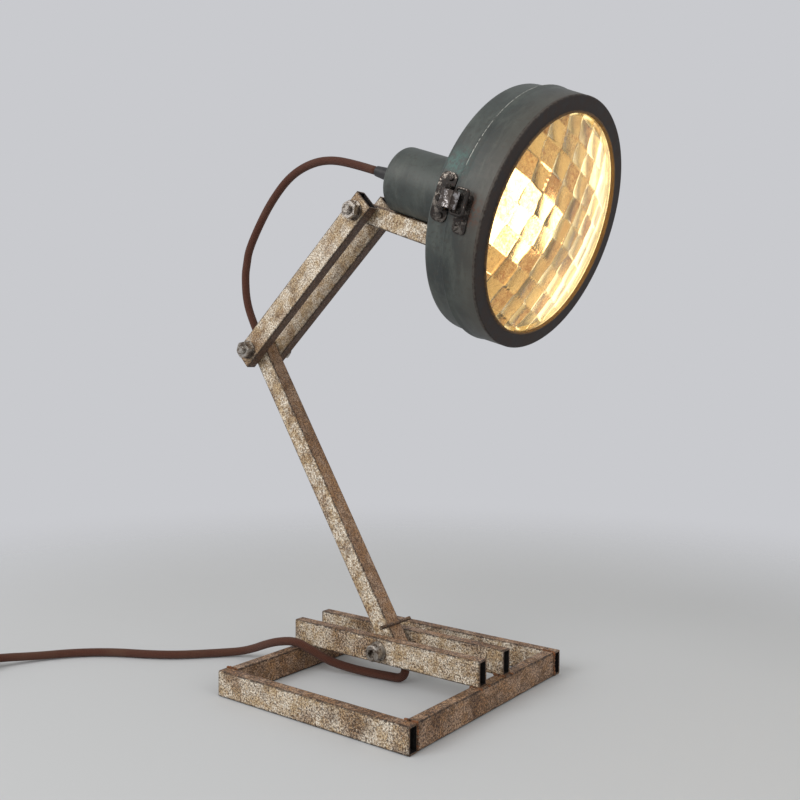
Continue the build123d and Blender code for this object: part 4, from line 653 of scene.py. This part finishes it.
# Painted glow: the pressed glass emits a faint warm light, strongest on the side far from the camera.
painted_glow_far_side = tree.calc("MULTIPLY", tree.step(along[1], -6.0, 58.0), tree.step(radius, 22.0, 72.0))
glow = tree.mix(tree.calc("MULTIPLY", painted_glow_far_side, 0.8), glow, rgb(255, 236, 182))
power = tree.calc("MULTIPLY", pressed, tree.calc("MULTIPLY_ADD", painted_glow_far_side, 1.2, 0.06))
rough = tree.calc("MULTIPLY", pressed, tree.step(blotch, 0.3, 0.8, 0.05, 0.2))
relief = tree.calc("MULTIPLY", pressed, tree.calc("ADD", haze, blotch))
feed(tree, shader, Base_Color=tint, Transmission_Weight=1.0, IOR=1.5, Roughness=rough,
     Emission_Color=glow, Emission_Strength=power, Normal=tree.bump(relief, 0.00025, 0.4))
head_frame = Matrix((SIDE, UP, AXIS)).transposed().to_4x4()
head_frame.translation = HEAD_FRONT
glass_sizes = {"Radius": 84.0, "Dome Radius": 79.5, "Rise": 13.0, "Thickness": 4.0, "Face": -3.2,
               "Block": 16.0, "Crown": 1.6, "Tilt": 1.6}
glass_sizes = {name: size * MM for name, size in glass_sizes.items()}
lens = grow("pressed_glass", glass_tree, head_frame, **glass_sizes, Turn=radians(-18.0), Steps=200,
            Seed=7.0, Glass=material)
lens.data.shade_smooth()
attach(lens, "rim")
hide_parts("lens_glass")
tones = [item.value for item in lens.data.attributes["block_tone"].data]
print("glass faces:", len(lens.data.polygons), "tones", round(min(tones), 2), "to", round(max(tones), 2))

# %% [markdown]
# ## Welds
# The base was welded by hand and not ground everywhere, so rough beads run down the corners and
# along the rails' seats. A bead is a row of overlapping drops: points along a line, each with a
# small ball that is squashed, turned and sized at random. The lines' ends are the tubes' corners.

# %% Bead tree
bead_tree = bpy.data.node_groups.new("weld bead", "GeometryNodeTree")
given = sockets(
    bead_tree,
    [("Start", "Vector"), ("End", "Vector"), ("Drop", "Float"), ("Pitch", "Float"),
     ("Seed", "Float"), ("Metal", "Material")],
    [("Geometry", "Geometry")],
).outputs
bead = Tree(bead_tree)
inputs = {"Start": given["Start"], "End": given["End"]}
line = bead.add("GeometryNodeCurvePrimitiveLine", inputs).outputs[0]
inputs = {"Curve": line, "Length": given["Pitch"]}
points = bead.add("GeometryNodeCurveToPoints", inputs, mode="LENGTH").outputs[0]


def scatter(low, high, extra):
    """A random vector for each drop."""
    seed = bead.calc("ADD", given["Seed"], extra)
    inputs = {0: (low,) * 3, 1: (high,) * 3, "Seed": seed}
    return bead.add("FunctionNodeRandomValue", inputs, data_type="FLOAT_VECTOR").outputs[0]


nudge = bead.vector("SCALE", scatter(-0.3, 0.3, 1.0))
bead_tree.links.new(given["Drop"], nudge.node.inputs["Scale"])
points = bead.add("GeometryNodeSetPosition", {"Geometry": points, "Offset": nudge}).outputs[0]
ball = bead.add("GeometryNodeMeshIcoSphere", {"Radius": given["Drop"], "Subdivisions": 3}).outputs[0]
inputs = {"Points": points, "Instance": ball, "Rotation": scatter(0.0, 6.28, 2.0)}
inputs["Scale"] = scatter(0.62, 1.1, 3.0)
drops = bead.add("GeometryNodeInstanceOnPoints", inputs).outputs[0]
drops = bead.add("GeometryNodeRealizeInstances", {0: drops}).outputs[0]
drops = bead.add("GeometryNodeSetShadeSmooth", {"Geometry": drops}).outputs[0]
inputs = {"Geometry": drops, "Material": given["Metal"]}
drops = bead.add("GeometryNodeSetMaterial", inputs).outputs[0]
bead.add("NodeGroupOutput", {0: drops})

# %% [markdown]
# Rust gathers in a bead, and a little cream paint clings to it. All the beads of the base join
# into one piece, because the base is one welded body.

# %% Beads on the base
material, tree, place, shader = finish("weld_rust")
cloud = tree.noise(place, 0.25, 4.0, 0.65)
pits = tree.noise(place, 1.8, 3.0, 0.6)
coat = tree.mix(tree.step(cloud, 0.4, 0.6), rgb(64, 42, 28), rgb(128, 78, 44))
coat = tree.mix(tree.step(pits, 0.55, 0.68, 0.0, 0.7), coat, rgb(176, 158, 132))
feed(tree, shader, Base_Color=coat, Roughness=0.7, Metallic=0.2, Normal=tree.bump(pits, 0.0003, 0.8))

half_width, _, tube_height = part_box("base_front_tube")[1]
half_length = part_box("base_left_tube")[1].y
rails = [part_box("rail_front"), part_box("rail_back")]
TUBE_WIDTH, DROP, DROP_PITCH = 0.010, 0.0012, 0.0011


def join(name, pieces):
    """Joins mesh objects into the first and names it."""
    with bpy.context.temp_override(active_object=pieces[0], selected_editable_objects=pieces):
        bpy.ops.object.join()
    pieces[0].name = pieces[0].data.name = name
    return pieces[0]


lines = []
for x_side in (-1, 1):
    for y_side in (-1, 1):
        x, y = x_side * half_width, y_side * half_length
        lines.append(((x, y, 0.002), (x, y, tube_height - 0.001)))
        lines.append(((x - x_side * TUBE_WIDTH, y, tube_height), (x, y, tube_height)))
    for low, high in rails:
        for y in (low.y, high.y):
            inner, outer = x_side * (half_width - TUBE_WIDTH), x_side * half_width
            lines.append(((inner, y, low.z), (outer, y, low.z)))
beads = [
    grow(f"bead_{number}", bead_tree, Start=start, End=end, Drop=DROP, Pitch=DROP_PITCH,
         Seed=float(number), Metal=material)
    for number, (start, end) in enumerate(lines)
]
weld = join("weld_beads", beads)
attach(weld, "base")
print("bead triangles:", len(weld.data.polygons))

# %% [markdown]
# ## Threads on the bolts
# The elbow's and the wrist's bolts run past their nuts, and there the thread shows. A thread is a
# helix, which the spiral primitive draws from its radius, length and number of turns, and a small
# diamond swept along it makes the ridge. The nut's and the bolt's boxes say where the bare length
# lies. The base pivot's screw ends flush with its nut, so it gets none.

# %% Thread tree
thread_tree = bpy.data.node_groups.new("bolt thread", "GeometryNodeTree")
given = sockets(
    thread_tree,
    [("Radius", "Float"), ("Length", "Float"), ("Pitch", "Float"), ("Ridge", "Float"),
     ("Metal", "Material")],
    [("Geometry", "Geometry")],
).outputs
thread = Tree(thread_tree)
turns = thread.calc("DIVIDE", given["Length"], given["Pitch"])
inputs = {"Resolution": 40, "Rotations": turns, "Height": given["Length"]}
inputs |= {"Start Radius": given["Radius"], "End Radius": given["Radius"]}
helix = thread.add("GeometryNodeCurveSpiral", inputs).outputs[0]
inputs = {"Resolution": 4, "Radius": given["Ridge"]}
diamond = thread.add("GeometryNodeCurvePrimitiveCircle", inputs).outputs[0]
inputs = {"Curve": helix, "Profile Curve": diamond, "Fill Caps": True}
ridge = thread.add("GeometryNodeCurveToMesh", inputs).outputs[0]
ridge = thread.add("GeometryNodeRealizeInstances", {0: ridge}).outputs[0]
inputs = {"Geometry": ridge, "Material": given["Metal"]}
ridge = thread.add("GeometryNodeSetMaterial", inputs).outputs[0]
thread.add("NodeGroupOutput", {0: ridge})

# %% Threads past the nuts
BOLT_RADIUS, THREAD_PITCH, RIDGE = 0.004, 0.00125, 0.00032
START_GAP, BARE_ENDS, SUNK = 0.0006, 0.0016, 0.0001
for pivot in ("elbow", "wrist"):
    low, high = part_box(pivot + "_bolt")
    nut_low, nut_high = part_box(pivot + "_nut")
    bare = (nut_high.y, high.y) if nut_low.y > (low.y + high.y) / 2 else (nut_low.y, low.y)
    way = 1 if bare[1] > bare[0] else -1
    length = abs(bare[1] - bare[0]) - BARE_ENDS
    centre = (nut_low + nut_high) / 2
    turn = Matrix.Rotation(radians(-90 * way), 4, "X")
    place = Matrix.Translation((centre.x, bare[0] + way * START_GAP, centre.z)) @ turn
    ridge = grow(pivot + "_thread", thread_tree, place, Radius=BOLT_RADIUS - SUNK, Length=length,
                 Pitch=THREAD_PITCH, Ridge=RIDGE, Metal=steel)
    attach(ridge, "upper_arm")
    print(pivot, "thread", round(length / MM, 2), "mm, faces", len(ridge.data.polygons))

# %% [markdown]
# ## Textile cord
# The cord is two cores in a braided sleeve, 7 mm thick. It keeps its real length, so its middle
# line is a spline through the same points as the CAD tube. The spline gives evenly curved points,
# and a ring of vertices is carried along them without twisting, which makes the tube. Its own UV
# map goes once round and along in millimetres, so the braid stays as fine at every bend.

# %% Cord tools
CORD, CORE = 0.007, 0.0022
SIDES = 16
UP_ARM = heading(LOWER_HEADING)
INSIDE = UP_ARM * 4.6 * MM


def spline_line(name, points, resolution):
    """Points of an open NURBS spline through the route."""
    curve = bpy.data.curves.new(name, "CURVE")
    curve.dimensions = "3D"
    spline = curve.splines.new("NURBS")
    spline.points.add(len(points) - 1)
    for control, point in zip(spline.points, points):
        control.co = (*point, 1.0)
    spline.order_u = 3
    spline.use_endpoint_u = True
    spline.resolution_u = resolution
    host = bpy.data.objects.new(name, curve)
    bpy.context.scene.collection.objects.link(host)
    bpy.context.view_layer.update()
    evaluated = host.evaluated_get(bpy.context.evaluated_depsgraph_get())
    mesh = bpy.data.meshes.new_from_object(evaluated)
    line = [vertex.co.copy() for vertex in mesh.vertices]
    bpy.data.objects.remove(host)
    return line


def run_of(line):
    """Distance along a line at each of its points."""
    run = [0.0]
    for first, second in zip(line, line[1:]):
        run.append(run[-1] + (second - first).length)
    return run


def sweep(name, line, diameter, material, start_run=0.0):
    """Tube along a line, closed at both ends, with UV once round and along in millimetres."""
    mesh = bmesh.new()
    uv = mesh.loops.layers.uv.new("round_and_along")
    run = [start_run + value for value in run_of(line)]
    before, after = [line[0], *line[:-1]], [*line[1:], line[-1]]
    ways = [(second - first).normalized() for first, second in zip(before, after)]
    across = (SIDE - ways[0] * SIDE.dot(ways[0])).normalized()
    rings = []
    for number, (point, way) in enumerate(zip(line, ways)):
        if number:
            across = ways[number - 1].rotation_difference(way) @ across
            across = (across - way * across.dot(way)).normalized()
        other = way.cross(across)
        ring = []
        for step in range(SIDES):
            angle = 2 * pi * step / SIDES
            out = across * cos(angle) + other * sin(angle)
            ring.append(mesh.verts.new(point + out * diameter / 2))
        rings.append(ring)
    for number, (ring, following) in enumerate(zip(rings, rings[1:])):
        for step in range(SIDES):
            nxt = (step + 1) % SIDES
            face = mesh.faces.new((ring[step], ring[nxt], following[nxt], following[step]))
            face.smooth = True
            corners = [(step, number), (step + 1, number), (step + 1, number + 1), (step, number + 1)]
            for loop, (turn, station) in zip(face.loops, corners):
                loop[uv].uv = (turn / SIDES, run[station] / MM)
    mesh.faces.new(reversed(rings[0]))
    mesh.faces.new(rings[-1])
    data = bpy.data.meshes.new(name)
    mesh.to_mesh(data)
    mesh.free()
    data.materials.append(material)
    tube = bpy.data.objects.new(name, data)
    bpy.context.scene.collection.objects.link(tube)
    return tube


# %% [markdown]
# The braid is two families of strands that wind opposite ways and go over and under each other.
# On the UV map each family is a wave along a slanted line, and the product of the two waves says
# which one is on top. The low parts between strands are darkened as painted shade. Strands differ
# in tone, and the sleeve has faded and gathered dust in places.

# %% Braid
braid = bpy.data.materials.new("braided_textile")
braid.use_nodes = True
tree, shader = Tree(braid.node_tree), braid.node_tree.nodes["Principled BSDF"]
flat_map = tree.add("ShaderNodeUVMap", uv_map="round_and_along").outputs[0]
round_along = tree.add("ShaderNodeSeparateXYZ", {0: flat_map}).outputs
place = tree.add("ShaderNodeTexCoord").outputs["Object"]
STRANDS, STRAND_PITCH = 9.0, 2.6
turn = tree.calc("MULTIPLY", round_along[0], 2 * pi * STRANDS)
rise = tree.calc("MULTIPLY", round_along[1], 2 * pi / STRAND_PITCH)
waves = [tree.calc("SINE", tree.calc(way, turn, rise)) for way in ("ADD", "SUBTRACT")]
over = tree.step(tree.calc("MULTIPLY", *waves), -0.25, 0.25)
tops = [tree.calc("ABSOLUTE", wave) for wave in waves]
height = tree.add("ShaderNodeMix", {0: over, 2: tops[0], 3: tops[1]}, data_type="FLOAT").outputs[0]
fade = tree.noise(place, 26.0, 4.0, 0.6)
fluff = tree.noise(place, 900.0, 3.0, 0.6)
coat = tree.mix(over, rgb(70, 34, 20), rgb(96, 50, 32))
coat = tree.mix(tree.step(fade, 0.42, 0.66, 0.0, 0.55), coat, rgb(98, 66, 50))
# Painted shade: the low parts between strands are darkened.
coat = tree.mix(tree.step(height, 0.5, 0.0, 0.0, 0.75), coat, rgb(34, 20, 15))
coat = tree.mix(tree.step(fluff, 0.6, 0.75, 0.0, 0.4), coat, rgb(120, 90, 74))
feed(tree, shader, Base_Color=coat, Roughness=0.86, Sheen_Weight=0.08, Sheen_Roughness=0.4,
     Normal=tree.bump(tree.calc("MULTIPLY_ADD", fluff, 0.25, height), 0.0004, 0.9))

# %% [markdown]
# ## Cord through the arms
# The cord comes out of the lower arm's upper mouth, rises behind the elbow and curves over to the
# gland on the head. It crosses two joints, so it is made as one line and cut in the middle.
# Inside the arm only its two cores run, and they show in its mouths.

# %% Arc over the elbow
MOUTH = ELBOW + UP_ARM * 9 * MM
MOUTH_RUN, GLAND_REACH, GLAND_RUN = 13 * MM, 171 * MM, 25 * MM
GLAND_TIP = HEAD_FRONT - AXIS * GLAND_REACH
CUT, ELBOW_END, WRIST_END = ((-149.8, 397.8), (-173.1, 394.5), (-55.5, 353.0))


def in_arms_plane(x, z):
    return mm(x, ARM_Y, z)


arc_route = [ELBOW + INSIDE, MOUTH, MOUTH + UP_ARM * MOUTH_RUN]
for point in (
    (-178.2, 313.0), (-180.2, 338.0), (-177.8, 349.5), (-175.4, 361.0), (-162.0, 382.5),
    (-146.0, 403.0), (-124.5, 421.8), (-100.5, 430.3), (-76.5, 431.0),
):
    arc_route.append(in_arms_plane(*point))
arc_route += [GLAND_TIP - AXIS * GLAND_RUN, GLAND_TIP]
arc = spline_line("arc_route", arc_route, 12)
cut = min(range(len(arc)), key=lambda number: (arc[number] - in_arms_plane(*CUT)).length)
lower_line, upper_line = arc[: cut + 1], arc[cut:]
lower_run, upper_run = run_of(lower_line)[-1], run_of(upper_line)[-1]
print("arc, below and above the cut:", round(lower_run, 4), round(upper_run, 4))

arc_lower = sweep("cord_arc_below", lower_line, CORD, braid)
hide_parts("cord_elbow_end", "cord_arc_lower")
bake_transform(arc_lower)

arc_upper = sweep("cord_arc_above", upper_line, CORD, braid, lower_run)
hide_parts("cord_arc_upper")
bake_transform(arc_upper)

# %% Cores inside the arm
core_side = heading(LOWER_HEADING - 90) * 5.25 * MM
CORE_STEPS = 40
cores = []
for sign in (-1, 1):
    low_end, high_end = FOOT - INSIDE + core_side * sign, ELBOW + INSIDE + core_side * sign
    steps = [low_end.lerp(high_end, number / CORE_STEPS) for number in range(CORE_STEPS + 1)]
    cores.append(sweep(f"core_{sign}", steps, CORE, core_plastic))
cores = join("cord_wires", cores)
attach(cores, "lower_arm")
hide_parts("cord_cores")

# %% [markdown]
# ## Cord on the table
# From the arm's foot the cord drops to the table, passes over the base's left tube and runs to
# the switch. It starts in the lower arm's foot and lies still on the table. The points, in
# millimetres, are listed one by one, because a cord lies as it fell.

# %% Table run
SWITCH_HEADING, SWITCH_LENGTH = radians(247.5), 58 * MM
WAY = Vector((cos(SWITCH_HEADING), sin(SWITCH_HEADING), 0.0))
LEFT = Vector((-WAY.y, WAY.x, 0.0))
FLOOR = 3.6
SWITCH_IN = mm(-295.6, -183.1, 7.5)
SWITCH_OUT = SWITCH_IN + WAY * SWITCH_LENGTH
FOOT_EXIT = FOOT - UP_ARM * 13 * MM
table_route = [FOOT - INSIDE, FOOT_EXIT, FOOT_EXIT - UP_ARM * 8.8 * MM]
for point in (
    (2.6, 5.0, FLOOR), (-10.0, 3.4, FLOOR), (-31.0, -1.0, FLOOR + 0.4), (-48.0, -7.5, 6.8),
    (-61.0, -14.5, 11.5), (-71.5, -23.5, 20.5), (-84.5, -27.5, 26.0), (-102.0, -29.5, 23.0),
    (-119.0, -28.0, 17.0), (-136.0, -24.5, 9.5), (-150.5, -27.5, 4.6), (-162.0, -36.5, FLOOR),
    (-173.5, -50.0, FLOOR), (-189.0, -66.5, FLOOR), (-211.0, -81.5, FLOOR), (-240.0, -96.0, FLOOR),
    (-265.0, -118.0, FLOOR), (-281.5, -146.0, FLOOR + 0.6),
):
    table_route.append(mm(*point))
table_route += [SWITCH_IN - WAY * 12 * MM, SWITCH_IN]
table_line = spline_line("table_route", table_route, 10)
table_run = run_of(table_line)[-1]
print("table run:", round(table_run, 4))
table_cord = sweep("cord_on_table", table_line, CORD, braid)
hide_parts("cord_foot_end", "cord_table_run")
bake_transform(table_cord)

# %% [markdown]
# ## Coil and plug
# The rest of the cord was put away in a flat coil: five turns that spiral in on the table, climb
# onto themselves and spiral out again, to a plug that lies on top. Each half turn is a half
# circle between two points on the switch's side and the far side. A quadratic spline touches its
# control polygon at the middle of each edge, so points on a slightly larger circle give the true one.

# %% Coil and plug lead
COIL_RADIUS, LAYER, CLIMB = 46.0, 7.6, 4
RATES = [-4.0] * 5 + [8.0] + [4.0] * 4
STEPS = 8
switch_foot = Vector((SWITCH_OUT.x, SWITCH_OUT.y, FLOOR * MM))
COIL_START = switch_foot + WAY * 46 * MM
COIL_CENTRE = COIL_START + LEFT * COIL_RADIUS * MM


def coil_turns():
    """Control points of the coil's half circles, and where they end."""
    radius, height, side = COIL_RADIUS, FLOOR, -1
    start, points = COIL_START.copy(), []
    for number, rate in enumerate(RATES):
        radius += rate
        if number == CLIMB:
            height += LAYER
        side = -side
        end = COIL_CENTRE + LEFT * side * radius * MM
        end.z = height * MM
        middle, arm = (start + end) / 2, (start - end) / 2
        bulge = WAY * side * arm.length
        for step in range(STEPS):
            angle = pi * (step + 0.5) / STEPS
            points.append(middle + (arm * cos(angle) + bulge * sin(angle)) / cos(pi / 2 / STEPS))
        start = end
    return points, start


def beside_coil(out, along, height):
    """Point beside the coil, in millimetres out from its middle and along the switch's heading."""
    point = COIL_CENTRE - LEFT * out * MM + WAY * along * MM
    return Vector((point.x, point.y, height * MM))


turns, coil_end = coil_turns()
HALF_CORD, PLAY, PLUG_HALF = 3.5, 0.3, 6.85
top = FLOOR + LAYER + HALF_CORD + PLAY + PLUG_HALF
coil_end = coil_end + WAY * 7 * MM
plug_entry = beside_coil(-16.0, 41.0, top)
lead_route = [SWITCH_OUT, SWITCH_OUT + WAY * 8 * MM]
lead_route.append(switch_foot + WAY * 19 * MM)
lead_route += [COIL_START - WAY * 7 * MM, *turns, coil_end, coil_end + WAY * 11 * MM]
for out, along, lift in ((51, 33, 16 - top), (44, 48, -1), (29, 58, 0.5), (11, 60, 0.4), (-5, 53, 0)):
    lead_route.append(beside_coil(out, along, top + lift))
lead_route.append(plug_entry)
lead_line = spline_line("lead_route", lead_route, 6)
lead = sweep("cord_coil_and_lead", lead_line, CORD, braid, table_run)
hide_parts("cord_switch_run", "cord_coil", "cord_plug_run")
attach(lead, "base")

# %% [markdown]
# ## Camera
# The camera stands where the photograph was taken: its place, its three angles and its focal
# length come from the base's corners, the pivots and the glass's ellipse. The small shift puts the
# horizon at its height in the picture.

# %% Camera
AZIMUTH, PITCH, ROLL = radians(37.134), radians(-2.011), radians(0.299)
FOCAL_PIXELS, IMAGE_PIXELS, MIDDLE_ROW = 934.94, 800.0, 395.495
STAND = mm(452.6, -593.7, 259.5)
ahead = Vector((-sin(AZIMUTH) * cos(PITCH), cos(AZIMUTH) * cos(PITCH), sin(PITCH)))
level_right = Vector((cos(AZIMUTH), sin(AZIMUTH), 0.0))
level_up = level_right.cross(ahead)
right = level_right * cos(ROLL) + level_up * sin(ROLL)
upright = level_up * cos(ROLL) - level_right * sin(ROLL)
lens_data = bpy.data.cameras.new("photo_camera")
lens_data.sensor_width = 36.0
lens_data.lens = FOCAL_PIXELS / IMAGE_PIXELS * lens_data.sensor_width
lens_data.shift_y = (MIDDLE_ROW - IMAGE_PIXELS / 2) / IMAGE_PIXELS
lens_data.clip_start = 0.01
camera = bpy.data.objects.new("photo_camera", lens_data)
bpy.context.scene.collection.objects.link(camera)
pose = Matrix((right, upright, -ahead)).transposed().to_4x4()
pose.translation = STAND
camera.matrix_world = pose
bpy.context.scene.camera = camera
print("lens", round(lens_data.lens, 2), "mm")

# %% [markdown]
# ## Studio
# The lamp stands on a plain pale floor that fades into the pale background, so no edge shows from
# any side. A large soft light hangs to the left in front, and a weak one on the right fills the
# shadows. The background that the camera sees isn't the light on the lamp.

# %% Floor
FLOOR_RADIUS, SOLID_TO, CLEAR_FROM, UNDER_LAMP = 3.0, 0.3, 1.0, 0.0003
floor_mesh = bmesh.new()
bmesh.ops.create_circle(floor_mesh, cap_ends=True, segments=96, radius=FLOOR_RADIUS)
floor_data = bpy.data.meshes.new("studio_floor")
floor_mesh.to_mesh(floor_data)
floor_mesh.free()
studio_floor = bpy.data.objects.new("studio_floor", floor_data)
bpy.context.scene.collection.objects.link(studio_floor)
BACKDROP = rgb(201, 202, 206)
material = bpy.data.materials.new("floor_paper")
material.use_nodes = True
tree, shader = Tree(material.node_tree), material.node_tree.nodes["Principled BSDF"]
place = tree.add("ShaderNodeTexCoord").outputs["Object"]
feed(tree, shader, Base_Color=rgb(200, 205, 212), Roughness=0.8)
clear = tree.add("ShaderNodeBsdfTransparent").outputs[0]
far = tree.step(tree.vector("LENGTH", place), SOLID_TO, CLEAR_FROM)
blend_shader = tree.add("ShaderNodeMixShader", {0: far, 1: shader.outputs[0], 2: clear})
surface = material.node_tree.nodes["Material Output"].inputs["Surface"]
tree.tree.links.new(blend_shader.outputs[0], surface)
floor_data.materials.append(material)
floor_data.transform(Matrix.Translation((0, 0, -UNDER_LAMP)))
studio_floor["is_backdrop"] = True

# %% Light
bpy.context.scene.view_settings.view_transform = "Standard"
world = bpy.data.worlds.new("studio")
bpy.context.scene.world = world
world.use_nodes = True
tree = Tree(world.node_tree)
rays = tree.add("ShaderNodeLightPath").outputs
seen = tree.calc("MAXIMUM", rays["Is Glossy Ray"], rays["Is Transmission Ray"])
seen = tree.calc("MAXIMUM", rays["Is Camera Ray"], seen)
colour = tree.mix(seen, rgb(240, 234, 224), BACKDROP)
strength = tree.step(seen, 0.0, 1.0, 0.62, 1.0)
background = world.node_tree.nodes["Background"]
tree.tree.links.new(colour, background.inputs["Color"])
tree.tree.links.new(strength, background.inputs["Strength"])


def soft_light(name, place, target, size, power, colour):
    """Square area light that looks at a point."""
    light = bpy.data.lights.new(name, "AREA")
    light.size, light.energy, light.color = size, power, colour
    holder = bpy.data.objects.new(name, light)
    bpy.context.scene.collection.objects.link(holder)
    turn = (Vector(target) - Vector(place)).to_track_quat("-Z", "Y").to_matrix().to_4x4()
    holder.matrix_world = Matrix.Translation(place) @ turn
    holder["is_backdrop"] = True


AIM = (0.0, 0.0, 0.2)
soft_light("window", (-0.5, -1.7, 1.3), AIM, 1.3, 25.0, (1.0, 0.97, 0.93))
soft_light("fill", (1.6, -0.3, 0.9), AIM, 1.0, 6.0, (1.0, 0.97, 0.92))

# %% [markdown]
# ## Sizes and the end
# The dressed lamp should keep the CAD model's outside size, so the sizes of both boxes are printed.

# %% Sizes
seen_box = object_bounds()
sizes = {"cad": [list(corner) for corner in cad_box], "dressed": [list(corner) for corner in seen_box]}
for name, (low, high) in sizes.items():
    print(name, [round(b - a, 4) for a, b in zip(low, high)])
